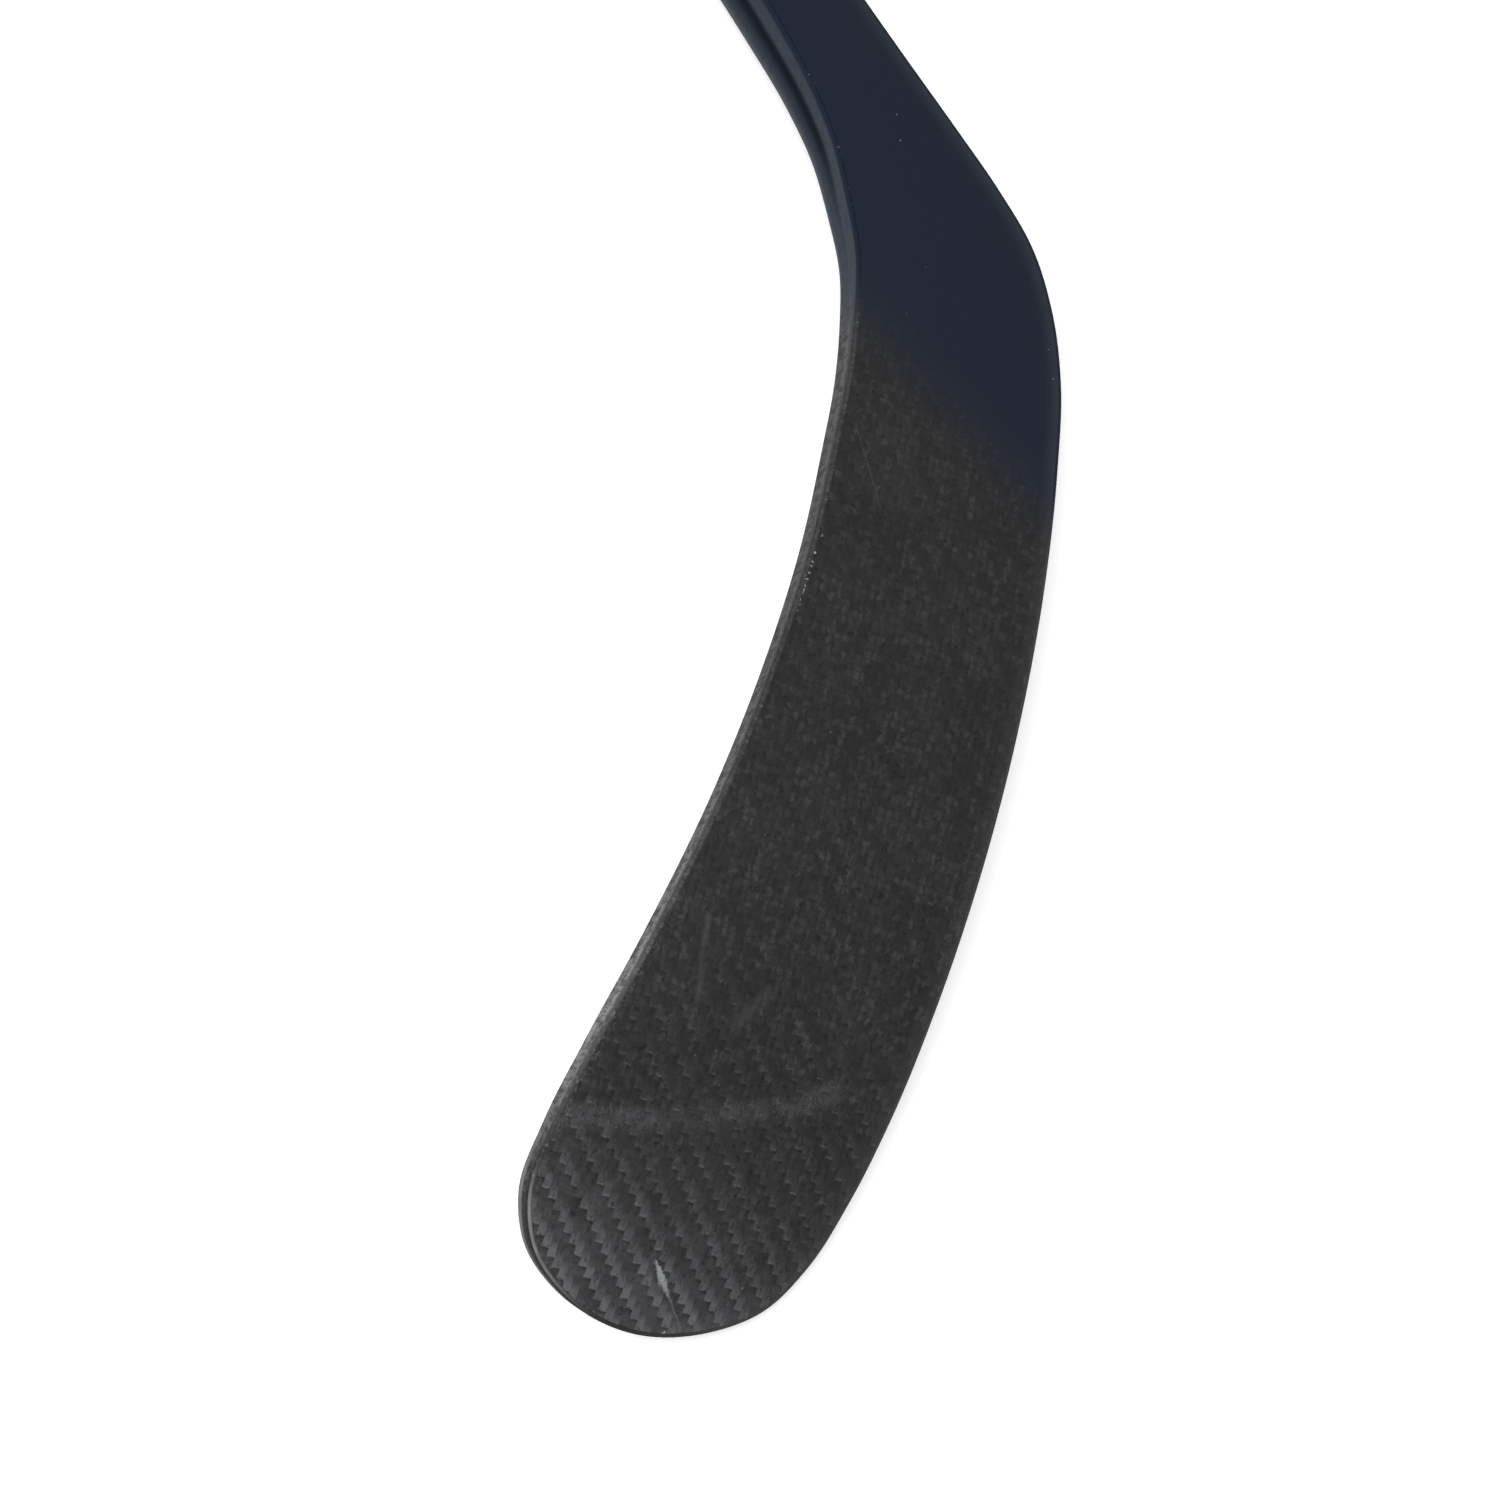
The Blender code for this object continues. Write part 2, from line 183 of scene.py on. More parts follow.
def blade_curve():
    """Distance ahead, drop and turn of the blade's middle surface for each distance along it."""
    along = np.linspace(0, CURVE_REACH, CURVE_STEPS + 1)
    curvature = smooth((along - BEND_START) / BEND_RAMP) / BEND_RADIUS
    step = along[1]
    turn = np.cumsum(curvature) * step
    return along, np.cumsum(np.cos(turn)) * step - step, np.cumsum(np.sin(turn)) * step, turn


CURVE = blade_curve()


def bent(points):
    """Where points of the flat stick go when the blade is bent and its face opened."""
    points = np.asarray(points, float)
    along, up, z = points @ TOEWARD, points @ UPWARD, points[..., 2]
    ahead, drop, turn = (np.interp(along, CURVE[0], column) for column in CURVE[1:])
    twist = OPEN_TWIST * (np.maximum(along, 0) / BLADE_LENGTH) ** 1.5
    above = up - TWIST_HEIGHT
    raised = TWIST_HEIGHT + above * np.cos(twist) - z * np.sin(twist)
    proud = above * np.sin(twist) + z * np.cos(twist)
    normal = TOEWARD * np.sin(turn)[..., None] + OUTWARD * np.cos(turn)[..., None]
    blade = TOEWARD * ahead[..., None] + UPWARD * raised[..., None]
    blade = blade - OUTWARD * drop[..., None] + normal * proud[..., None]
    return np.where((along > 0)[..., None], blade, points)


def rest_placement():
    """The stick frame in the row frame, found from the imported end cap."""
    low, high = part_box("end_cap")
    roll = Matrix.Rotation(REST_ROLL, 4, "X")
    middle = roll @ Vector((0, SHAFT_WIDTH / 2, 0))
    centre = (low + high) / 2
    shift = Vector((high.x - STICK_LENGTH, centre.y - middle.y, centre.z - middle.z))
    return Matrix.Translation(shift) @ roll


# ---------------------------------------------------------------- meshes

def rim_length(k):
    """Distance along the rim from its start to places k, in millimetres."""
    fine = np.linspace(0, RIM_END, RIM_END * 20 + 1)
    points, _ = rim(fine)
    run = np.concatenate([[0], np.cumsum(np.linalg.norm(np.diff(points[:, :2], axis=0), axis=1))])
    return np.interp(k, fine, run) * MM


def rim_distance(points, start, end):
    """Distance in the flat from points to the rim between two places, in millimetres."""
    line = rim(np.linspace(start, end, int((end - start) * 24)))[0][:, :2]
    batch = 2000
    nearest = [
        np.linalg.norm(points[begin:begin + batch, None, :2] - line[None], axis=2).min(axis=1)
        for begin in range(0, len(points), batch)
    ]
    return np.concatenate(nearest) * MM


def grid_faces(rows, columns, closed):
    """Quads over a grid of vertices numbered row by row."""
    across = columns if closed else columns - 1
    i, j = np.meshgrid(np.arange(rows - 1), np.arange(across), indexing="ij")
    following = (j + 1) % columns
    a, b = i * columns + j, i * columns + following
    return np.stack([a, b, b + columns, a + columns], axis=-1).reshape(-1, 4)


def piece(name, stick_points, faces, facts, look, bevel_angle=32):
    """A mesh object in the row frame. facts holds a vector for each vertex, for its material."""
    shape = bmesh.new()
    layers = [shape.verts.layers.float_vector.new(key) for key in facts]
    verts = []
    for index, point in enumerate(stick_points):
        vert = shape.verts.new(PLACED @ Vector(point))
        for layer, values in zip(layers, facts.values()):
            vert[layer] = Vector(values[index])
        verts.append(vert)
    for face in faces:
        shape.faces.new([verts[i] for i in face])
    bmesh.ops.remove_doubles(shape, verts=shape.verts, dist=1e-6)
    bmesh.ops.dissolve_degenerate(shape, edges=shape.edges, dist=1e-7)
    bmesh.ops.recalc_face_normals(shape, faces=shape.faces)
    mesh = bpy.data.meshes.new(name)
    shape.to_mesh(mesh)
    shape.free()
    mesh.shade_smooth()
    mesh.set_sharp_from_angle(angle=math.radians(bevel_angle))
    mesh.materials.append(look)
    made = bpy.data.objects.new(name, mesh)
    bpy.context.scene.collection.objects.link(made)
    return made


def flat_facts(points, third=1.0):
    """Distance along the blade, height up it, and a third number, for each point of the flat stick."""
    third = np.broadcast_to(third, len(points))
    return np.stack([points @ TOEWARD * MM, points @ UPWARD * MM, third], axis=-1)


def rib_places(start, end):
    """Evenly spaced places on the rim from start to end."""
    count = int(round((end - start) * STEPS_PER_RIB))
    return np.linspace(start, end, count + 1)


def face_sheet(places):
    """Middle surface between the edge bands as (x, y, half thickness), one row for each place."""
    inset = EDGE_ROUND + LIP
    low, low_inward = rim(places)
    high, high_inward = rim(RIM_END - places)
    low, high = low + low_inward * inset, high + high_inward * inset
    share = (0.5 - 0.5 * np.cos(np.linspace(0, np.pi, FACE_COLUMNS + 1)))[None, :, None]
    sheet = low[:, None] * (1 - share) + high[:, None] * share
    width = np.linalg.norm((high - low)[:, :2], axis=1)[:, None]
    sheet[..., 2] += CROWN * width / BLADE_HEIGHT * 4 * share[..., 0] * (1 - share[..., 0])
    return sheet


def face_skin(name, side, look):
    """One face of the blade and the hosel; side is +1 for backhand and -1 for forehand."""
    places = rib_places(0, TIP)
    sheet = face_sheet(places)
    rows, columns = sheet.shape[:2]
    half = sheet[..., 2].copy()
    layers = []
    for depth in (0.0, SKIN):
        layer = sheet.copy()
        layer[..., 2] = side * (half - depth)
        layers.append(layer.reshape(-1, 3))
    flat = np.vstack(layers)
    count = rows * columns
    faces = list(grid_faces(rows, columns, False))
    faces += list(grid_faces(rows, columns, False) + count)
    number = np.arange(count).reshape(rows, columns)
    ring = [*number[:, 0], *number[-1, 1:], *number[-2::-1, -1], *number[0, -2:0:-1]]
    for here, there in zip(ring, ring[1:] + ring[:1]):
        faces.append((here, there, there + count, here + count))
    edges = np.stack([
        rim_distance(flat, TIP, RIM_END),
        rim_distance(flat, 0, TIP),
        np.full(len(flat), side),
    ], axis=-1)
    return piece(name, bent(flat), faces, {"flat": flat_facts(flat, side), "edges": edges}, look)


def side_hollow(place):
    """Strengths of the hollow and its valley at a place on the rim: full up the hosel, none by the toe."""
    rib = np.minimum(place, RIM_END - place)
    return 1 - smooth((rib - 3) / 4), 1 - smooth((rib - 2.5) / 4.5)


def hollow_depth(h, wide, narrow):
    """Depth of the narrow side at height h, from -1 to 1 across it."""
    return wide * HOLLOW * (1 - h * h) + narrow * VALLEY * math.exp(-((h / VALLEY_WIDTH) ** 2))


def edge_profile(half, wide, narrow):
    """Outline of the edge band as (inset, height, share across) points, from its backhand lip round."""
    quarter = [math.radians(90 * (1 + step / CORNER_STEPS)) for step in range(CORNER_STEPS + 1)]
    corner = [
        (EDGE_ROUND + EDGE_ROUND * math.cos(a), half - EDGE_ROUND + EDGE_ROUND * math.sin(a))
        for a in quarter
    ]
    flat = half - EDGE_ROUND
    heights = [1 - 2 * step / SIDE_STEPS for step in range(1, SIDE_STEPS)]
    hollow = [(hollow_depth(h, wide, narrow), flat * h) for h in heights]
    front = [(EDGE_ROUND + LIP, half)] + corner + hollow
    back = [(inset, -height) for inset, height in reversed([(EDGE_ROUND + LIP, half)] + corner)]
    under = half - SKIN
    inner = [(EDGE_ROUND + LIP, -under), (BAND, -under), (BAND, under), (EDGE_ROUND + LIP, under)]
    return front + back + inner


def edge_band(name, start, end, look):
    """Laminate round the edge between two places on the rim."""
    places = rib_places(start, end)
    points, inwards = rim(places)
    run = rim_length(places)
    flat, along_rim, insets = [], [], []
    for place, point, inward, distance in zip(places, points, inwards, run):
        wide, narrow = side_hollow(place)
        for inset, height in edge_profile(point[2], wide, narrow):
            at = point + inward * inset
            flat.append((at[0], at[1], height))
            along_rim.append((distance, height * MM, height / point[2]))
            insets.append(inset * MM)
    flat = np.array(flat)
    columns = len(flat) // len(places)
    faces = list(grid_faces(len(places), columns, True))
    faces.append(list(range(columns)))
    faces.append(list(range(len(flat) - columns, len(flat))))
    facts = {"flat": flat_facts(flat, np.array(insets)), "rim": np.array(along_rim)}
    return piece(name, bent(flat), faces, facts, look)


def shaft_size(x):
    """Width, depth and corner radius of the shaft at x."""
    t = float(smooth((x - JOINT_X) / (TAPER_END_X - JOINT_X)))
    return (
        JOINT_WIDTH + (SHAFT_WIDTH - JOINT_WIDTH) * t,
        JOINT_DEPTH + (SHAFT_DEPTH - JOINT_DEPTH) * t,
        JOINT_CORNER + (SHAFT_CORNER - JOINT_CORNER) * t,
    )


def shaft_ring(x, inset, at=None):
    """Rounded rectangle of the shaft's section, drawn inset from its outside, with hollow narrow sides."""
    width, depth, corner = shaft_size(x)
    corner = max(corner - inset, LEAST_CORNER)
    middle = width / 2
    half_wide, half_deep = middle - inset, depth / 2 - inset
    narrow = 1 - float(smooth((x - JOINT_X) / (TAPER_END_X - JOINT_X)))
    wide = 1 + (SHAFT_HOLLOW - 1) * (1 - narrow)
    flat = half_deep - corner
    ring = []
    for quarter, (sy, sz) in enumerate(((1, 1), (-1, 1), (-1, -1), (1, -1))):
        for step in range(SHAFT_CORNER_STEPS + 1):
            a = math.radians(90 * (quarter + step / SHAFT_CORNER_STEPS))
            y = middle + sy * (half_wide - corner) + corner * math.cos(a)
            z = sz * (half_deep - corner) + corner * math.sin(a)
            ring.append((y, z))
        if quarter in (1, 3):
            side = -1 if quarter == 1 else 1
            for step in range(1, SIDE_STEPS):
                h = 1 - 2 * step / SIDE_STEPS
                ring.append((middle + side * (half_wide - hollow_depth(h, wide, narrow)), -side * flat * h))
    where = x if at is None else at
    return [(where, y, z) for y, z in ring]


def ring_piece(name, rings, look, hollow=None):
    """A loft through rings, closed at its ends, or round a hollow loft that is open at both ends."""
    outer = np.array([point for ring in rings for point in ring])
    columns = len(rings[0])
    faces = list(grid_faces(len(rings), columns, True))
    flat = outer
    if hollow is None:
        faces.append(list(range(columns)))
        faces.append(list(range(len(outer) - columns, len(outer))))
    else:
        inner = np.array([point for ring in hollow for point in ring])
        count = len(outer)
        flat = np.vstack([outer, inner])
        faces += list(grid_faces(len(hollow), columns, True) + count)
        for begin in (0, count - columns):
            for j in range(columns):
                following = (j + 1) % columns
                faces.append((begin + j, begin + following, begin + following + count, begin + j + count))
    facts = {"flat": flat_facts(flat), "shaft": flat * MM}
    return piece(name, flat, faces, facts, look, bevel_angle=40)


def shaft_tube(look):
    """The shaft, in stretches that are short where it tapers."""
    taper = np.linspace(JOINT_X, TAPER_END_X, 33)
    plain = np.linspace(TAPER_END_X, STICK_LENGTH - CAP_FLANGE, 49)[1:]
    stations = [*taper, *plain]
    outer = [shaft_ring(x, 0.0) for x in stations]
    inner = [shaft_ring(x, SHAFT_WALL) for x in stations]
    return ring_piece("shaft_tube_fine", outer, look, hollow=inner)


def end_cap(look):
    """Cap with a stem inside the shaft, a rounded rim and a shallow dished end."""
    x = STICK_LENGTH
    under = x - CAP_FLANGE + 0.0001
    fit = SHAFT_WALL + CAP_PLAY
    rings = [
        shaft_ring(x, fit + 0.0006, at=under - CAP_STEM),
        shaft_ring(x, fit, at=under - CAP_STEM + 0.002),
        shaft_ring(x, fit, at=under),
        shaft_ring(x, CAP_EDGE, at=under),
        shaft_ring(x, 0.0, at=under + CAP_EDGE),
        shaft_ring(x, 0.0, at=under + 0.0018),
    ]
    for step in range(SHAFT_CORNER_STEPS + 1):
        a = math.radians(90 * step / SHAFT_CORNER_STEPS)
        inset = CAP_ROUND * (1 - math.cos(a))
        rings.append(shaft_ring(x, inset, at=x - CAP_ROUND * (1 - math.sin(a))))
    rings.append(shaft_ring(x, CAP_ROUND + 0.0012, at=x))
    rings.append(shaft_ring(x, CAP_ROUND + 0.0016, at=x - 0.0004))
    return ring_piece("end_cap_fine", rings, look)


# ---------------------------------------------------------------- materials

class Look:
    """One material's node tree, with short calls for the nodes it uses."""

    def __init__(self, name, roughness, specular=0.5):
        self.material = bpy.data.materials.new(name)
        self.material.use_nodes = True
        self.tree = self.material.node_tree
        self.shader = self.tree.nodes["Principled BSDF"]
        self.shader.inputs["Roughness"].default_value = roughness
        self.shader.inputs["Specular IOR Level"].default_value = specular

    def node(self, kind, inputs=(), **settings):
        made = self.tree.nodes.new(kind)
        for key, value in settings.items():
            setattr(made, key, value)
        for key, value in dict(inputs).items():
            self.join(value, made.inputs[key])
        return made

    def join(self, value, socket):
        if isinstance(value, bpy.types.NodeSocket):
            self.tree.links.new(value, socket)
        else:
            socket.default_value = value

    def math(self, operation, a, b=0.0, clamp=False):
        return self.node("ShaderNodeMath", {0: a, 1: b}, operation=operation, use_clamp=clamp).outputs[0]

    def fold(self, operation, values):
        """One number from several, taken two at a time from the left."""
        result = values[0]
        for value in values[1:]:
            result = self.math(operation, result, value)
        return result

    def add(self, *values):
        return self.fold("ADD", values)

    def mul(self, *values):
        return self.fold("MULTIPLY", values)

    def most(self, *values):
        return self.fold("MAXIMUM", values)

    def sub(self, a, b):
        return self.math("SUBTRACT", a, b)

    def power(self, a, b):
        return self.math("POWER", a, b)

    def floor(self, value):
        return self.math("FLOOR", value)

    def apart(self, a, b):
        """How far two numbers are apart."""
        return self.math("ABSOLUTE", self.sub(a, b))

    def ramp(self, value, low, high, start=0.0, end=1.0):
        """Smooth step of value from start at low to end at high."""
        made = self.node(
            "ShaderNodeMapRange",
            {"Value": value, "From Min": low, "From Max": high, "To Min": start, "To Max": end},
            interpolation_type="SMOOTHSTEP",
        )
        return made.outputs["Result"]

    def fall(self, value, low, high, end=0.0):
        """Smooth step of value from 1 at low to end at high."""
        return self.ramp(value, low, high, 1.0, end)

    def parts(self, value):
        return self.node("ShaderNodeSeparateXYZ", {0: value}).outputs

    def attribute(self, name):
        """The three numbers that each vertex carries under this name."""
        return tuple(self.parts(self.node("ShaderNodeAttribute", attribute_name=name).outputs["Vector"]))

    def vector(self, x, y, z=0.0):
        return self.node("ShaderNodeCombineXYZ", {0: x, 1: y, 2: z}).outputs[0]

    def noise(self, where, scale, detail=2.0, roughness=0.5):
        inputs = {"Vector": where, "Scale": scale, "Detail": detail, "Roughness": roughness}
        return self.node("ShaderNodeTexNoise", inputs).outputs["Fac"]

    def random(self, where):
        return self.node("ShaderNodeTexWhiteNoise", {"Vector": where}).outputs["Value"]

    def randoms(self, where):
        """A random number for where, and three more."""
        made = self.node("ShaderNodeTexWhiteNoise", {"Vector": where})
        return made.outputs["Value"], self.parts(made.outputs["Color"])

    def mix(self, factor, low, high):
        """Blend of two colours."""
        made = self.node("ShaderNodeMix", data_type="RGBA", clamp_factor=True)
        for value, socket in ((factor, made.inputs[0]), (low, made.inputs[6]), (high, made.inputs[7])):
            self.join(value, socket)
        return made.outputs[2]

    def blend(self, factor, low, high):
        """Blend of two numbers."""
        return self.add(low, self.mul(factor, self.sub(high, low)))

    def bump(self, height, distance, strength):
        inputs = {"Height": height, "Distance": distance, "Strength": strength}
        return self.node("ShaderNodeBump", inputs).outputs["Normal"]

    def finish(self, colour, roughness=None, normal=None):
        self.join(colour, self.shader.inputs["Base Color"])
        if roughness is not None:
            self.join(roughness, self.shader.inputs["Roughness"])
        if normal is not None:
            self.join(normal, self.shader.inputs["Normal"])
        return self.material


CARBON_DARK = (0.0128, 0.0124, 0.0134, 1)
CARBON_LIGHT = (0.0900, 0.0885, 0.0940, 1)
# Dark hollows between the weave's tows, and the painted drop shadow past the end of each tow
CARBON_GAP_AND_SHADOW = (0.0030, 0.0030, 0.0034, 1)
NAVY = (0.0072, 0.0112, 0.0215, 1)
NAVY_PALER = (0.0095, 0.0130, 0.0230, 1)
NAVY_EDGE = (0.0165, 0.0225, 0.0345, 1)
# Painted shade in the groove of the hosel's narrow sides
NAVY_GROOVE_SHADE = (0.0020, 0.0045, 0.0085, 1)
# Rubbed navy paint, also used for painted highlights on the face's back edge and on the edge bands
NAVY_RUBBED_AND_LIT = (0.0700, 0.0720, 0.0780, 1)
# Pale grey of wear on the top edge, also used for painted highlights and reflections round the toe
WORN_AND_HIGHLIGHT_PALE = (0.190, 0.191, 0.191, 1)
# Mid grey of wear, also used for the painted highlight on the backhand corner of the sole
WORN_AND_HIGHLIGHT_MIDDLE = (0.055, 0.055, 0.056, 1)
WORN_DARK = (0.022, 0.022, 0.023, 1)
# Grey of scuffs and rubs, also used for the painted sheen beside the back edge of the face
SCUFF_AND_SHEEN_GREY = (0.110, 0.110, 0.116, 1)
CHIP_WHITE = (0.330, 0.345, 0.362, 1)
DUST = (0.300, 0.310, 0.320, 1)
EDGE_BLACK = (0.0090, 0.0090, 0.0098, 1)
CAP_DARK, CAP_LIGHT = (0.014, 0.014, 0.015, 1), (0.026, 0.026, 0.028, 1)
FLOOR_DARK, FLOOR_LIGHT = (0.88, 0.88, 0.88, 1), (0.90, 0.90, 0.90, 1)

# Diagonal along which the paint ends, in millimetres of the flat blade
FADE_AT, FADE_SLANT, FADE_HALF_WIDTH = 60.7, 0.611, 13.0


def carbon_share(look, along, up):
    """0 where the blade is painted and 1 where the bare carbon shows."""
    across = look.sub(look.add(along, look.mul(up, FADE_SLANT)), FADE_AT)
    return look.ramp(across, -FADE_HALF_WIDTH, FADE_HALF_WIDTH)


def segment(look, where, start, end):
    """Distance of a point of the flat blade from a line between two points, and its place along it."""
    run = (end[0] - start[0], end[1] - start[1], 0)
    length_squared = run[0] ** 2 + run[1] ** 2
    offset = look.node("ShaderNodeVectorMath", {0: where, 1: (*start, 0)}, operation="SUBTRACT").outputs[0]
    dot = look.node("ShaderNodeVectorMath", {0: offset, 1: run}, operation="DOT_PRODUCT").outputs["Value"]
    share = look.math("DIVIDE", dot, length_squared, clamp=True)
    foot = look.node("ShaderNodeVectorMath", {0: run}, operation="SCALE")
    look.join(share, foot.inputs["Scale"])
    gap = look.node("ShaderNodeVectorMath", {0: offset, 1: foot.outputs[0]}, operation="DISTANCE")
    return gap.outputs["Value"], share


TOW = 2.08  # width of one tow of the weave, in millimetres
OVER, REPEAT = 2.0, 4.0  # each tow passes over two others in every four
STRAY = 1.3  # how far the fainter grid strays from the weave, in tows
STRAY_LAYERS = (7.0, 19.0)  # heights in the noise that make its two directions stray apart


class Twill:
    """2/2 twill, worked out at each point of the flat blade. Its values run from 0 to 1."""

    def __init__(self, look, along, up):
        place = look.vector(along, up)
        wander = look.noise(place, 0.045)
        jitter = look.noise(place, 0.30)
        fray = look.noise(place, 1.1)
        lean_a = look.add(look.mul(wander, 0.5), look.mul(jitter, 0.36))
        lean_b = look.sub(look.mul(jitter, 0.30), look.mul(wander, 0.4))
        a = look.add(look.mul(along, 1 / TOW), lean_a, look.mul(fray, 0.30))
        b = look.add(look.mul(up, 1 / TOW), lean_b, look.mul(fray, 0.22))
        i, j = look.floor(a), look.floor(b)
        in_a, in_b = look.sub(a, i), look.sub(b, j)

        # lengthwise and crosswise are places in a tow's repeat: a lengthwise tow is on top from 0 to 2.
        lengthwise = look.math("FLOORED_MODULO", look.add(a, j), REPEAT)
        crosswise = look.math("FLOORED_MODULO", look.add(i, b), REPEAT)
        self.on_top = look.math("LESS_THAN", lengthwise, OVER)
        number = look.vector(look.floor(look.mul(look.add(a, j), 1 / REPEAT)), j)
        self.chance, spread = look.randoms(number)

        # How each tow rises and falls over the ones that it crosses
        middle_b = look.math("ABSOLUTE", look.sub(look.mul(in_b, 2.0), 1.0))
        middle_a = look.math("ABSOLUTE", look.sub(look.mul(in_a, 2.0), 1.0))
        long_arch = look.math("SINE", look.mul(lengthwise, math.pi / OVER))
        cross_arch = look.math("SINE", look.mul(look.sub(crosswise, OVER), math.pi / OVER))
        long_height = look.mul(look.most(long_arch, 0.0), look.sub(1.0, look.power(middle_b, 3.0)))
        cross_height = look.mul(look.most(cross_arch, 0.0), look.sub(1.0, look.power(middle_a, 3.0)))
        self.height = look.blend(self.on_top, cross_height, long_height)

        # Weave pattern with the fibres' reflection painted in: a lengthwise tow brightens and widens from
        # where it comes up to the crisp end where it dives. Between, the crosswise tows are duller, each in
        # its own tone.
        over = look.ramp(lengthwise, -0.1, 1.3, 0.32, 1.0)
        sides = look.add(middle_b, look.ramp(lengthwise, 0.3, 1.5, 0.16, 0.0))
        body = look.fall(sides, 0.92, 1.06, 0.60)
        cross_number = look.vector(i, look.floor(look.mul(look.add(i, b), 1 / REPEAT)))
        under = look.blend(look.random(cross_number), 0.14, 0.42)
        under = look.mul(under, look.ramp(lengthwise, 2.0, 2.9, 0.55, 1.0))
        self.broad = look.blend(self.on_top, under, look.mul(over, body))

        # Painted highlight: a thin bright line across that end. Painted shadow: a small dark drop shadow
        # past it.
        line = look.mul(look.ramp(lengthwise, 1.66, 1.84), look.fall(lengthwise, 1.95, OVER))
        self.line = look.mul(line, look.fall(middle_b, 0.55, 0.90), spread[0])
        past = look.fall(look.apart(lengthwise, 2.14), 0.02, 0.30)
        self.gap = look.mul(past, look.fall(in_b, 0.0, 0.9, 0.15), look.blend(spread[2], 0.1, 1.0))

        fibre_long = look.noise(look.vector(look.mul(a, 0.8), look.mul(b, 14.0)), 1.0)
        fibre_cross = look.noise(look.vector(look.mul(a, 14.0), look.mul(b, 0.8)), 1.0)
        self.fibre = look.blend(self.on_top, fibre_cross, fibre_long)
        self.spot, self.hollow = self.faint_grid(look, along, up, a, b)

    def faint_grid(self, look, along, up, a, b):
        """Light spots with painted glints, and dark hollows, of the weave where its tows can hardly be told
        apart.

        Each crossing of a looser grid has its own tone, a short painted glint and a dark nick, over
        finer blotches.
        """
        loose = []
        for tows, layer in zip((a, b), STRAY_LAYERS):
            stray = look.noise(look.vector(along, up, layer), 0.62, 1.0)
            loose.append(look.add(tows, look.mul(stray, STRAY)))
        i, j = (look.floor(tows) for tows in loose)
        in_a, in_b = look.sub(loose[0], i), look.sub(loose[1], j)
        chance, own = look.randoms(look.vector(i, j))
        square_a, square_b = (look.fall(look.apart(x, 0.5), 0.34, 0.50) for x in (in_a, in_b))
        tone = look.mul(square_a, square_b, look.power(own[0], 1.4))
        off_line = look.apart(in_b, look.blend(own[1], 0.28, 0.72))
        off_middle = look.apart(in_a, look.blend(own[2], 0.35, 0.65))
        # Painted glint: a short light mark where a lengthwise tow crests
        glint_dash = look.mul(look.fall(off_line, 0.10, 0.26), look.fall(off_middle, 0.22, 0.46))
        glint_dash = look.mul(glint_dash, look.power(chance, 2.4))
        blotch = look.noise(look.vector(look.mul(along, 0.52), look.mul(up, 0.80)), 1.0, 2.0, 0.6)
        mottle = look.ramp(blotch, 0.50, 0.72)
        spot = look.add(look.mul(tone, 0.46), look.add(look.mul(glint_dash, 0.46), look.mul(mottle, 0.14)))
        nick = look.mul(look.fall(in_b, 0.06, 0.26), look.fall(off_middle, 0.20, 0.40))
        nick = look.mul(nick, look.ramp(own[2], 0.40, 0.70))
        return spot, look.most(look.ramp(blotch, 0.48, 0.30, 0.0, 0.6), nick)


# Wear marks on the backhand face, in millimetres of the flat blade
GOUGE = ((261.4, 52.4), (275.2, 40.3))
NICKS = (  # (centre, size past a fine dot)
    ((276.6, 44.2), 0.18), ((261.6, 28.6), -0.06), ((266.0, 30.7), -0.08), ((85.8, 58.6), -0.02),
    ((196.0, 57.0), -0.10), ((132.0, 46.0), -0.10), ((228.0, 50.0), -0.12),
)
SCRATCH = ((55.7, 55.3), (74.1, 45.4))
STREAK = ((183.0, 64.8), (201.9, 61.6))
SMUDGE = ((204.7, 50.7), (195.5, 44.6))
RUB_LINE = ((235.5, 84.5), (231.5, 64.8), (225.1, 47.0), (219.5, 32.0), (212.3, 21.0))
RUB_STRENGTHS = (0.60, 0.34, 0.40, 0.52)

# Chips along the crease at the top edge: (distance along, half width, strength)
CREASE_CHIPS = (
    (91.0, 0.16, 0.85), (93.4, 0.04, 0.65), (94.6, 0.02, 0.60), (96.4, 0.06, 0.65), (98.1, 0.08, 0.55),
    (106.5, 0.0, 0.22),
)
CREASE_LINE = (99.5, 104.5)


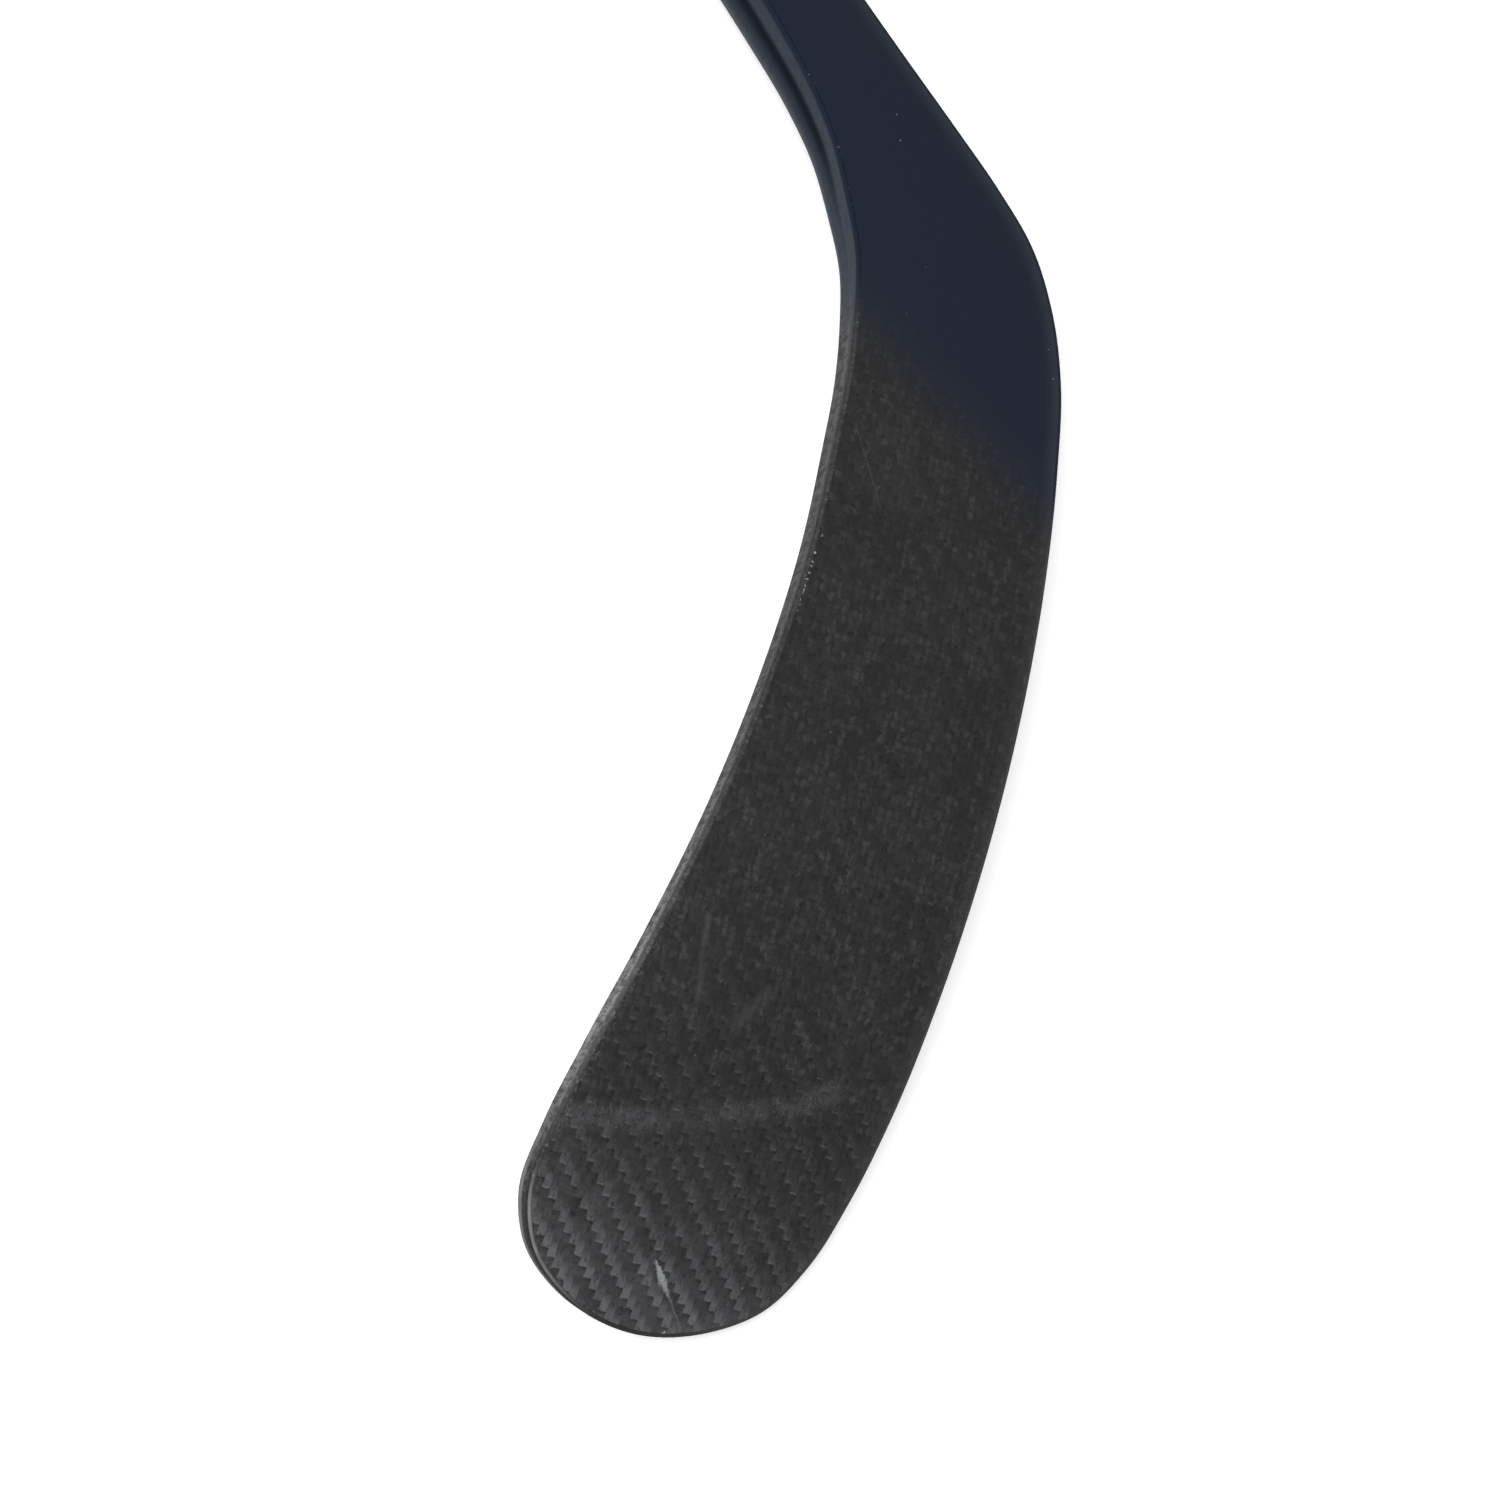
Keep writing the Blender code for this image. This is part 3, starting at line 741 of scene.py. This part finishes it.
def wear_marks(look, along, up):
    """Marks on the backhand face: (chips, scuffs), each from 0 to 1."""
    place = look.vector(along, up)
    coarse = look.mul(look.sub(look.noise(place, 0.9, 4.0, 0.75), 0.5), 1.7)
    where = look.vector(look.add(along, coarse), look.add(up, coarse))
    grain = look.noise(place, 3.2, 3.0, 0.65)
    chips, scuffs = [], []

    # Gouge near the toe tip: widest a little past its start and drawn out to a thin line
    gap, share = segment(look, where, *GOUGE)
    reach = look.ramp(share, 0.22, 0.60, 0.80, 0.02)
    tail = look.ramp(share, 0.0, 0.25, 0.15, 1.0)
    depth = look.fall(look.sub(gap, look.mul(reach, tail)), -0.25, 0.42)
    pale = look.mul(look.ramp(share, 0.10, 0.75, 0.82, 0.26), look.ramp(grain, 0.36, 0.60, 0.30, 1.0))
    chips.append(look.mul(depth, pale))
    for centre, size in NICKS:
        gap, _ = segment(look, where, centre, (centre[0] + 0.6, centre[1] + 0.2))
        chips.append(look.ramp(look.sub(gap, size), -0.05, 0.28, 0.62, 0.0))
    gap, _ = segment(look, place, *SCRATCH)
    scuffs.append(look.mul(look.ramp(gap, 0.05, 0.20, 0.30, 0.0), look.ramp(grain, 0.35, 0.60)))
    gap, _ = segment(look, where, *STREAK)
    scuffs.append(look.mul(look.ramp(gap, 0.0, 1.5, 0.17, 0.0), look.ramp(grain, 0.3, 0.7, 0.4, 1.0)))
    gap, _ = segment(look, where, *SMUDGE)
    scuffs.append(look.mul(look.ramp(gap, 0.2, 2.6, 0.16, 0.0), look.ramp(grain, 0.3, 0.7, 0.3, 1.0)))

    # Band of fine rubbing that crosses the blade a little before the toe, and fainter rubbing elsewhere
    speckle = look.ramp(look.noise(place, 1.7, 4.0, 0.7), 0.50, 0.66)
    haze = look.ramp(look.noise(place, 0.35, 3.0, 0.6), 0.40, 0.65, 0.10, 0.42)
    for start, end, strength in zip(RUB_LINE, RUB_LINE[1:], RUB_STRENGTHS):
        gap, _ = segment(look, where, start, end)
        scuffs.append(look.mul(look.ramp(gap, 0.5, 4.4, strength, 0.0), look.most(speckle, haze)))
    everywhere = look.ramp(look.noise(place, 2.4, 3.0, 0.6), 0.62, 0.78, 0.0, 0.20)
    rubbed = look.ramp(look.noise(place, 0.06), 0.40, 0.60)
    scuffs.append(look.mul(everywhere, rubbed, look.ramp(along, 90.0, 230.0)))
    return look.most(*chips), look.most(*scuffs)


def forehand_marks(look, along, up):
    """The forehand face has only patches of fine rubbing."""
    place = look.vector(along, up)
    speckle = look.ramp(look.noise(place, 1.6, 3.0, 0.6), 0.55, 0.75)
    zone = look.ramp(look.noise(place, 0.03), 0.45, 0.65, 0.0, 0.35)
    return None, look.mul(speckle, zone)


def crease_marks(look, along, place, top_gap):
    """White chips and a broken line on the face where it meets the top edge."""
    marks = []
    for middle, width, strength in CREASE_CHIPS:
        chip = look.ramp(look.sub(look.apart(along, middle), width), 0.0, 0.24, strength, 0.0)
        marks.append(look.mul(chip, look.fall(top_gap, 1.50, 1.85)))
    start, end = CREASE_LINE
    line = look.mul(look.ramp(along, start - 1.0, start), look.fall(along, end, end + 1.0))
    line = look.mul(line, look.ramp(look.noise(place, 1.2, 3.0), 0.45, 0.56, 0.0, 0.45))
    return marks + [look.mul(line, look.fall(top_gap, 1.45, 1.75))]


def dust(look, x, y):
    """Sparse specks of dust, from 0 to 1."""
    cells = look.node("ShaderNodeTexVoronoi", {"Vector": look.vector(x, y), "Scale": 0.13})
    picked = look.parts(cells.outputs["Color"])
    chosen = look.ramp(picked[0], 0.48, 0.50)
    size = look.blend(picked[1], 0.014, 0.032)
    spot = look.fall(look.sub(cells.outputs["Distance"], size), 0.0, 0.012)
    return look.mul(spot, chosen, look.blend(picked[2], 0.45, 1.0))


# Painted light: past a slanting line the toe is drawn brighter, as it catches the light, more and more over
# the millimetres up to its tip.
GLOW_START, GLOW_LENGTH, GLOW_SLANT, MID_HEIGHT = 218.0, 54.0, 0.18, 45.0


def carbon_colour(look, weave, along, up, place):
    """Colour of the weave, with its reflection painted in: clear and bright at the toe, faint over the
    middle of the blade, with painted glints, highlights and drop shadows.
    """
    toe = look.add(along, look.mul(look.sub(up, MID_HEIGHT), GLOW_SLANT))
    toe = look.math("MULTIPLY", look.sub(toe, GLOW_START), 1 / GLOW_LENGTH, clamp=True)
    glow = look.power(toe, 2.5)
    cloudy = look.noise(place, 0.035)
    outer = look.ramp(along, 40.0, 190.0)
    clearer = look.ramp(along, 165.0, 225.0)
    # Tone of the loose grid, with its painted glints, brighter towards the toe
    spots = look.mul(weave.spot, look.blend(glow, look.blend(outer, 0.20, 0.30), 0.12))
    spots = look.mul(spots, look.blend(clearer, 1.0, 0.80))
    # Painted highlights across the tow ends, towards the toe
    lines = look.mul(weave.line, look.mul(look.ramp(along, 185.0, 235.0), 0.34))
    faint = look.blend(clearer, look.mul(cloudy, 0.08), 0.085)
    # Painted light: the weave's reflection grows bright towards the toe
    broad = look.mul(weave.broad, look.add(look.mul(glow, 0.70), faint))
    lightness = look.add(broad, look.mul(glow, 0.10), look.add(spots, lines))
    own = look.blend(weave.chance, 0.74, 1.20)
    lightness = look.mul(lightness, own, look.blend(weave.fibre, 0.70, 1.28))
    patches = look.ramp(look.noise(place, 0.16), 0.52, 0.66)
    specks = look.ramp(look.noise(place, 3.4), 0.56, 0.70, 0.0, 0.20)
    # Specks, drawn brighter towards the toe as painted light
    lightness = look.add(lightness, look.mul(specks, patches, look.blend(toe, 0.6, 2.2)))
    lightness = look.add(lightness, look.mul(look.ramp(cloudy, 0.35, 0.65), 0.03))
    # Painted shadow past the tow ends, and the dark hollows of the weave
    drop_shadows = look.mul(weave.gap, look.blend(clearer, 0.50, 0.66))
    pits = look.most(drop_shadows, look.mul(weave.hollow, look.blend(outer, 0.34, 0.60)))
    return look.mix(pits, look.mix(lightness, CARBON_DARK, CARBON_LIGHT), CARBON_GAP_AND_SHADOW)


def weave_look(name, marks):
    """Twill under satin lacquer, painted navy towards the shaft."""
    look = Look(name, 0.45, specular=0.20)
    along, up, _side = look.attribute("flat")
    top_gap, back_gap, _side = look.attribute("edges")
    place = look.vector(along, up)
    weave = Twill(look, along, up)
    colour = carbon_colour(look, weave, along, up, place)
    chips, scuffs = marks(look, along, up)
    colour = look.mix(scuffs, colour, SCUFF_AND_SHEEN_GREY)
    flakes = look.ramp(look.noise(place, 0.75, 5.0, 0.75), 0.50, 0.60)
    outer_top = look.mul(look.ramp(top_gap, 0.2, 3.6, 0.55, 0.0), look.ramp(along, 165.0, 205.0))
    colour = look.mix(look.mul(flakes, outer_top), colour, SCUFF_AND_SHEEN_GREY)

    # Paint, and a painted sheen on the rounding beside the back edge: light painted into the colour of both
    # carbon and navy
    bare = carbon_share(look, along, up)
    sheen = look.ramp(back_gap, 0.8, 5.4, 0.20, 0.0)
    colour = look.mix(look.mul(sheen, 0.5), colour, SCUFF_AND_SHEEN_GREY)
    colour = look.mix(bare, look.mix(sheen, NAVY, NAVY_RUBBED_AND_LIT), colour)
    colour = look.mix(look.mul(dust(look, along, up), look.blend(bare, 0.85, 0.15)), colour, DUST)
    rubbing = scuffs
    if chips is not None:
        chips = look.most(chips, *crease_marks(look, along, place, top_gap))
        colour = look.mix(chips, colour, CHIP_WHITE)
        rubbing = look.most(scuffs, chips)

    relief = look.mul(look.add(weave.height, look.mul(weave.fibre, 0.15)), look.blend(bare, 0.05, 1.0))
    roughness = look.add(look.blend(bare, 0.42, 0.47), look.mul(rubbing, 0.3))
    return look.finish(colour, roughness, look.bump(relief, 0.00004, 0.6))


# Places along the rim in millimetres, from the shaft down the back, round the toe and up the front
BACK_GROOVE_RUN = 100.0  # where the groove down the back edge fades
TOE_LOW_RUN, TOE_TIP_RUN, TOE_TOP_RUN = 414.0, 455.0, 497.0
WORST_RUN = 548.0  # the most worn place of the top edge
CHIPPED_RUN = 651.0  # middle of a stretch of chips
HEEL_RUN = 712.0
GROOVE_RUN = 758.0  # where the groove up the front of the hosel begins
SHAFT_RUN = 855.0


def worn_edge(look, run, height, across, rub):
    """Colour of the top edge, rubbed most over the outer half of the blade."""
    most = look.mul(look.ramp(run, TOE_TOP_RUN - 7.0, WORST_RUN), look.fall(run, WORST_RUN, 640.0, 0.25))
    low = look.mix(most, WORN_DARK, WORN_AND_HIGHLIGHT_MIDDLE)
    high = look.mix(most, WORN_AND_HIGHLIGHT_MIDDLE, WORN_AND_HIGHLIGHT_PALE)
    worn = look.mix(look.ramp(rub, 0.44, 0.56), low, high)

    # The wear ends in a ragged line before the crease, and is less where the edge turns away.
    flaked = look.mul(look.ramp(run, TOE_TOP_RUN, TOE_TOP_RUN + 14.0), look.fall(run, WORST_RUN, 570.0))
    ragged = look.sub(look.add(across, look.mul(look.sub(rub, 0.5), 4.0)), look.mul(flaked, 0.22))
    shoulder = look.fall(ragged, 0.42, 0.84, 0.24)
    turned = look.mul(look.ramp(across, 0.42, 0.02, 0.0, 0.34), look.ramp(run, 536.0, 556.0))
    shoulder = look.mul(shoulder, look.sub(1.0, turned))
    past_toe = look.ramp(run, TOE_TOP_RUN - 20.0, TOE_TOP_RUN + 22.0)
    worn = look.mix(look.mul(shoulder, past_toe), EDGE_BLACK, worn)

    flecks = look.noise(look.vector(look.mul(run, 0.8), look.mul(height, 1.6)), 1.0, 4.0, 0.7)
    zone = look.mul(look.ramp(run, TOE_TOP_RUN - 22.0, TOE_TOP_RUN + 8.0),
                    look.fall(run, WORST_RUN, 600.0, 0.35))
    return look.mix(look.mul(look.ramp(flecks, 0.54, 0.66), zone, 0.42), worn, WORN_AND_HIGHLIGHT_PALE)


def with_toe_wear_and_highlights(look, colour, run, across, inset, rub, streaks):
    """The nearly black toe and sole, rubbed along the sole, with a painted reflection along the forehand
    side of the toe and painted highlights on the backhand corners.
    """
    # Painted highlight on the rounded backhand corner of the toe
    ridge_highlight = look.mul(look.ramp(inset, 0.10, 0.40, 0.0, 0.8), look.fall(inset, 0.85, 1.10, 0.15))
    ridge_highlight = look.mul(ridge_highlight, look.math("GREATER_THAN", across, 0.0))
    reach = look.mul(look.ramp(run, TOE_TIP_RUN, TOE_TOP_RUN - 9.0, 0.12, 1.0),
                     look.fall(run, TOE_TOP_RUN - 8.0, TOE_TOP_RUN + 9.0, 0.10))
    ridge_highlight = look.mul(ridge_highlight, reach, look.ramp(streaks, 0.25, 0.55, 0.45, 1.0))
    # Painted reflection along the forehand side of the toe's rim
    outer = look.sub(across, look.ramp(run, TOE_LOW_RUN, TOE_TIP_RUN + 20.0, 0.62, 0.05))
    outline_reflection = look.mul(look.ramp(outer, 0.0, -0.32), look.ramp(run, TOE_LOW_RUN - 60.0, TOE_LOW_RUN))
    outline_reflection = look.mul(outline_reflection, look.fall(run, TOE_TOP_RUN, TOE_TOP_RUN + 20.0))
    sole = (run, TOE_LOW_RUN, TOE_TIP_RUN)
    # Painted highlight on the backhand corner of the sole, and real rubbing along the sole
    sole_rim_highlight = look.mul(look.ramp(across, 0.80, 0.98, 0.0, 0.45), look.fall(*sole))
    sole_wear = look.mul(look.ramp(rub, 0.48, 0.70, 0.0, 0.60), look.fall(*sole, 0.25))
    colour = look.mix(look.most(sole_rim_highlight, sole_wear), colour, WORN_AND_HIGHLIGHT_MIDDLE)
    colour = look.mix(look.mul(outline_reflection, look.ramp(streaks, 0.3, 0.6, 0.30, 0.60)), colour, WORN_AND_HIGHLIGHT_PALE)
    return look.mix(ridge_highlight, colour, WORN_AND_HIGHLIGHT_PALE)


def edge_chips(look, run, height, across, inset):
    """Broken hairline of chips along the crease beside the face."""
    crease = look.mul(look.ramp(inset, 0.45, 0.75), look.ramp(across, 0.90, 0.96))
    chipped = look.mul(crease, look.ramp(look.noise(look.vector(run, height), 1.3, 4.0, 0.75), 0.60, 0.68))
    zone = look.most(look.ramp(look.noise(look.vector(run, 0.0), 0.045), 0.42, 0.58, 0.05, 0.45),
                     look.fall(look.apart(run, CHIPPED_RUN), 9.0, 13.0))
    return look.mul(chipped, zone, look.ramp(run, TOE_TOP_RUN, TOE_TOP_RUN + 30.0))


def edge_paint(look, run, across, inset, rub):
    """Navy paint with painted shade in the groove between two soft ridges, a painted highlight on the outer
    corner, rubs, and a painted highlight along the backhand rim of the sole.
    """
    # Where the groove's painted shade falls, along the front and the back of the hosel
    middle = look.fall(look.most(across, look.mul(across, -0.55)), 0.02, 0.42)
    front = look.mul(middle, look.ramp(run, GROOVE_RUN - 12.0, GROOVE_RUN + 22.0))
    back = look.mul(middle, look.fall(run, BACK_GROOVE_RUN, BACK_GROOVE_RUN + 30.0))
    by_shaft = look.mul(look.fall(run, SHAFT_RUN - 32.0, SHAFT_RUN - 6.0), look.ramp(run, 5.0, 40.0))
    groove = look.mul(look.most(front, back), by_shaft)
    paint = look.mix(look.ramp(rub, 0.40, 0.64, 0.0, 0.16), NAVY_EDGE, NAVY_RUBBED_AND_LIT)
    # Painted highlight on the outer (forehand) corner
    paint = look.mix(look.ramp(across, -0.60, -0.98, 0.0, 0.85), paint, NAVY_RUBBED_AND_LIT)
    # Painted shade in the groove
    paint = look.mix(groove, paint, NAVY_GROOVE_SHADE)
    paint = look.mix(look.ramp(across, 0.72, 0.90), paint, NAVY)
    # Painted highlight along the backhand rim of the back edge and sole
    back_rim_highlight = look.mul(look.ramp(inset, 0.0, 0.5, 0.45, 0.10),
                        look.fall(run, TOE_TIP_RUN - 10.0, TOE_TIP_RUN))
    return look.mix(look.mul(back_rim_highlight, look.ramp(across, 0.80, 0.92)), paint, NAVY_RUBBED_AND_LIT)


def edge_look(name):
    """Laminate edge, rubbed in streaks along its length, and painted navy towards the shaft, with
    highlights, a reflection and groove shade painted into its colour.

    All bands share one set of rules, so that one runs into the next without a step. run is the
    distance along the rim and across goes from -1 at the forehand to 1 at the backhand.
    """
    look = Look(name, 0.70, specular=0.05)
    along, up, inset = look.attribute("flat")
    run, height, across = look.attribute("rim")
    streaks = look.noise(look.vector(look.mul(run, 0.10), look.mul(height, 0.9)), 1.0, 5.0, 0.65)
    blotches = look.noise(look.vector(look.mul(run, 0.55), look.mul(height, 0.24)), 1.0, 5.0, 0.70)
    grain = look.noise(look.vector(look.mul(run, 2.0), height), 2.0, 3.0, 0.6)
    rub = look.add(look.mul(streaks, 0.16), look.mul(blotches, 0.62), look.mul(grain, 0.22))
    worn = worn_edge(look, run, height, across, rub)
    colour = with_toe_wear_and_highlights(look, worn, run, across, inset, rub, streaks)
    bare = carbon_share(look, along, up)
    colour = look.mix(bare, edge_paint(look, run, across, inset, rub), colour)
    colour = look.mix(edge_chips(look, run, height, across, inset), colour, CHIP_WHITE)
    roughness = look.blend(look.ramp(run, HEEL_RUN, GROOVE_RUN), 0.66, 0.52)
    return look.finish(colour, roughness, look.bump(look.mul(rub, bare), 0.00012, 0.5))


def shaft_look(name):
    """Navy lacquer with a faint orange peel, dust and a few light rubs."""
    look = Look(name, 0.42, specular=0.20)
    x, y, z = look.attribute("shaft")
    where = look.vector(x, y, z)
    tone = look.noise(look.vector(look.mul(x, 0.02), y, z), 0.5)
    colour = look.mix(look.ramp(tone, 0.3, 0.7), NAVY, NAVY_PALER)
    rubs = look.noise(look.vector(look.mul(x, 0.03), look.mul(y, 1.3), look.mul(z, 1.3)), 1.0, 4.0, 0.6)
    zone = look.ramp(look.noise(where, 0.012), 0.48, 0.62)
    rub = look.mul(look.ramp(rubs, 0.60, 0.74, 0.0, 0.25), zone)
    colour = look.mix(rub, colour, SCUFF_AND_SHEEN_GREY)
    colour = look.mix(look.mul(dust(look, x, y), 0.7), colour, DUST)
    peel = look.noise(where, 0.8)
    roughness = look.add(look.blend(peel, 0.39, 0.46), look.mul(rub, 0.8))
    return look.finish(colour, roughness, look.bump(peel, 0.00002, 0.4))


def cap_look(name):
    """Moulded black plastic with a fine spark-eroded grain."""
    look = Look(name, 0.50)
    where = look.vector(*look.attribute("shaft"))
    grain = look.noise(where, 3.5, 3.0, 0.6)
    colour = look.mix(look.noise(where, 0.25), CAP_DARK, CAP_LIGHT)
    return look.finish(colour, look.blend(grain, 0.42, 0.60), look.bump(grain, 0.00006, 0.6))


def foam_look(name, light, dark, cells_per_mm):
    """Closed-cell foam: small round cells with darker walls."""
    look = Look(name, 0.9, specular=0.25)
    place = look.node("ShaderNodeTexCoord").outputs["Object"]
    cells = look.node("ShaderNodeTexVoronoi", {"Vector": place, "Scale": cells_per_mm * MM})
    walls = look.ramp(cells.outputs["Distance"], 0.1, 0.7)
    colour = look.mix(look.mul(look.noise(place, 40.0, 3.0), 0.3), look.mix(walls, light, dark), dark)
    return look.finish(colour, None, look.bump(cells.outputs["Distance"], 0.0003, 0.6))


def raw_laminate_look(name):
    """Unpainted unidirectional carbon with resin streaks."""
    look = Look(name, 0.55, specular=0.4)
    x, y, z = look.parts(look.node("ShaderNodeTexCoord").outputs["Object"])
    stretched = look.vector(look.mul(x, 30.0), look.mul(y, 900.0), look.mul(z, 900.0))
    streaks = look.noise(stretched, 1.0, 4.0, 0.6)
    colour = look.mix(look.ramp(streaks, 0.3, 0.7), CARBON_DARK, CARBON_LIGHT)
    return look.finish(colour, look.blend(streaks, 0.45, 0.65), look.bump(streaks, 0.00006, 0.5))


# ---------------------------------------------------------------- the scene

FLOOR_SIZE = 24.0
FLOOR_GLOW = 0.30
WORLD_LIGHT = 0.33
LAMPS = (  # name, direction from the blade, distance, size, power
    ("overhead", (0.25, 0.35, 1.0), 2.2, 2.6, 76),
    ("side", (0.80, 0.55, 0.60), 2.6, 1.6, 16),
)

# The photograph's viewing angle in the stick frame: from the blade to the camera, and up in the picture
CAMERA_SIDE = (-0.04388, 0.52913, 0.84741)
CAMERA_UP = (0.80863, -0.47930, 0.34115)
CAMERA_DISTANCE = 0.93085
CAMERA_LENS = 96.5
BLADE_MIDDLE = (-0.04299, 0.15380, 0.0)


def add_floor():
    bpy.ops.mesh.primitive_plane_add(size=FLOOR_SIZE, location=(0, 0, 0))
    floor = bpy.context.object
    floor.name = "floor"
    look = Look("studio_floor", 0.85, specular=0.1)
    tone = look.noise(look.node("ShaderNodeTexCoord").outputs["Object"], 1.5)
    look.shader.inputs["Emission Color"].default_value = (1, 1, 1, 1)
    look.shader.inputs["Emission Strength"].default_value = FLOOR_GLOW
    floor.data.materials.append(look.finish(look.mix(tone, FLOOR_DARK, FLOOR_LIGHT)))


def add_lights(aim):
    """Even white surroundings and soft square lamps that look at aim."""
    world = bpy.data.worlds.new("studio")
    world.use_nodes = True
    background = world.node_tree.nodes["Background"]
    background.inputs["Color"].default_value = (1, 1, 1, 1)
    background.inputs["Strength"].default_value = WORLD_LIGHT
    bpy.context.scene.world = world
    for name, direction, distance, size, power in LAMPS:
        lamp = bpy.data.lights.new(name, "AREA")
        lamp.shape = "SQUARE"
        lamp.size = size
        lamp.energy = power
        made = bpy.data.objects.new(name, lamp)
        towards = Vector(direction).normalized()
        made.location = aim + towards * distance
        made.rotation_euler = towards.to_track_quat("Z", "Y").to_euler()
        bpy.context.scene.collection.objects.link(made)


def add_camera(aim):
    """Camera at the photograph's viewing angle, looking at aim."""
    towards = PLACED.to_3x3() @ Vector(CAMERA_SIDE).normalized()
    upright = PLACED.to_3x3() @ Vector(CAMERA_UP)
    right = upright.cross(towards).normalized()
    upright = towards.cross(right)
    camera = bpy.data.cameras.new("camera")
    camera.lens = CAMERA_LENS
    camera.sensor_width = 36.0
    camera.clip_end = 50.0
    made = bpy.data.objects.new("camera", camera)
    turned = Matrix((right, upright, towards)).transposed().to_4x4()
    made.matrix_world = Matrix.Translation(aim + towards * CAMERA_DISTANCE) @ turned
    bpy.context.scene.collection.objects.link(made)
    bpy.context.scene.camera = made


def carry(made, node):
    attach(made, "root")
    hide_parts(node)


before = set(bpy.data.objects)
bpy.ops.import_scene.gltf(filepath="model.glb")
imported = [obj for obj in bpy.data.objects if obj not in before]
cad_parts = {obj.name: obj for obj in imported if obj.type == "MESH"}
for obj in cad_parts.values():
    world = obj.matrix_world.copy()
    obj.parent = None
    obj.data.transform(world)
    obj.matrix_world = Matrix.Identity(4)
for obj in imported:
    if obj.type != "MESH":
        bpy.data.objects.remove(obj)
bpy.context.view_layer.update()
PLACED = rest_placement()

weave = weave_look("carbon_weave", wear_marks)
weave_forehand = weave_look("carbon_weave_forehand", forehand_marks)
top_edge = edge_look("worn_edge_laminate")
toe_edge = edge_look("toe_edge_laminate")
sole_edge = edge_look("sole_edge_laminate")

carry(face_skin("backhand_face", 1, weave), "backhand_skin")
carry(face_skin("forehand_face", -1, weave_forehand), "forehand_skin")
carry(edge_band("sole_edge", 0, TOE_RIB - BAND_SPLIT, sole_edge), "sole_edge_band")
carry(edge_band("toe_edge", TOE_RIB + BAND_SPLIT, RIM_END - TOE_RIB - BAND_SPLIT, toe_edge),
      "toe_edge_band")
carry(edge_band("top_edge", RIM_END - TOE_RIB + BAND_SPLIT, RIM_END, top_edge),
      "top_edge_band")
carry(shaft_tube(shaft_look("painted_shaft")), "shaft_tube")
carry(end_cap(cap_look("cap_plastic")), "end_cap")

DENSE_FOAM = ((0.50, 0.45, 0.34, 1), (0.30, 0.25, 0.17, 1), 1.6)
LIGHT_FOAM = ((0.66, 0.63, 0.54, 1), (0.44, 0.40, 0.31, 1), 1.1)
INNER_LOOKS = {
    "heel_core": foam_look("heel_foam", *DENSE_FOAM),
    "lower_core": foam_look("lower_foam", *LIGHT_FOAM),
    "upper_core": foam_look("upper_foam", *LIGHT_FOAM),
    "tenon_core": foam_look("tenon_foam", *DENSE_FOAM),
    "shaft_plug": foam_look("plug_foam", *LIGHT_FOAM),
    "spine_rib": raw_laminate_look("spine_laminate"),
    "hosel_tenon": raw_laminate_look("raw_laminate"),
}
for node, look in INNER_LOOKS.items():
    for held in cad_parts[node].material_slots:
        held.material = look

blade_middle = PLACED @ Vector(BLADE_MIDDLE)
add_floor()
add_lights(blade_middle)
add_camera(blade_middle)
bpy.context.scene.view_settings.view_transform = "Standard"
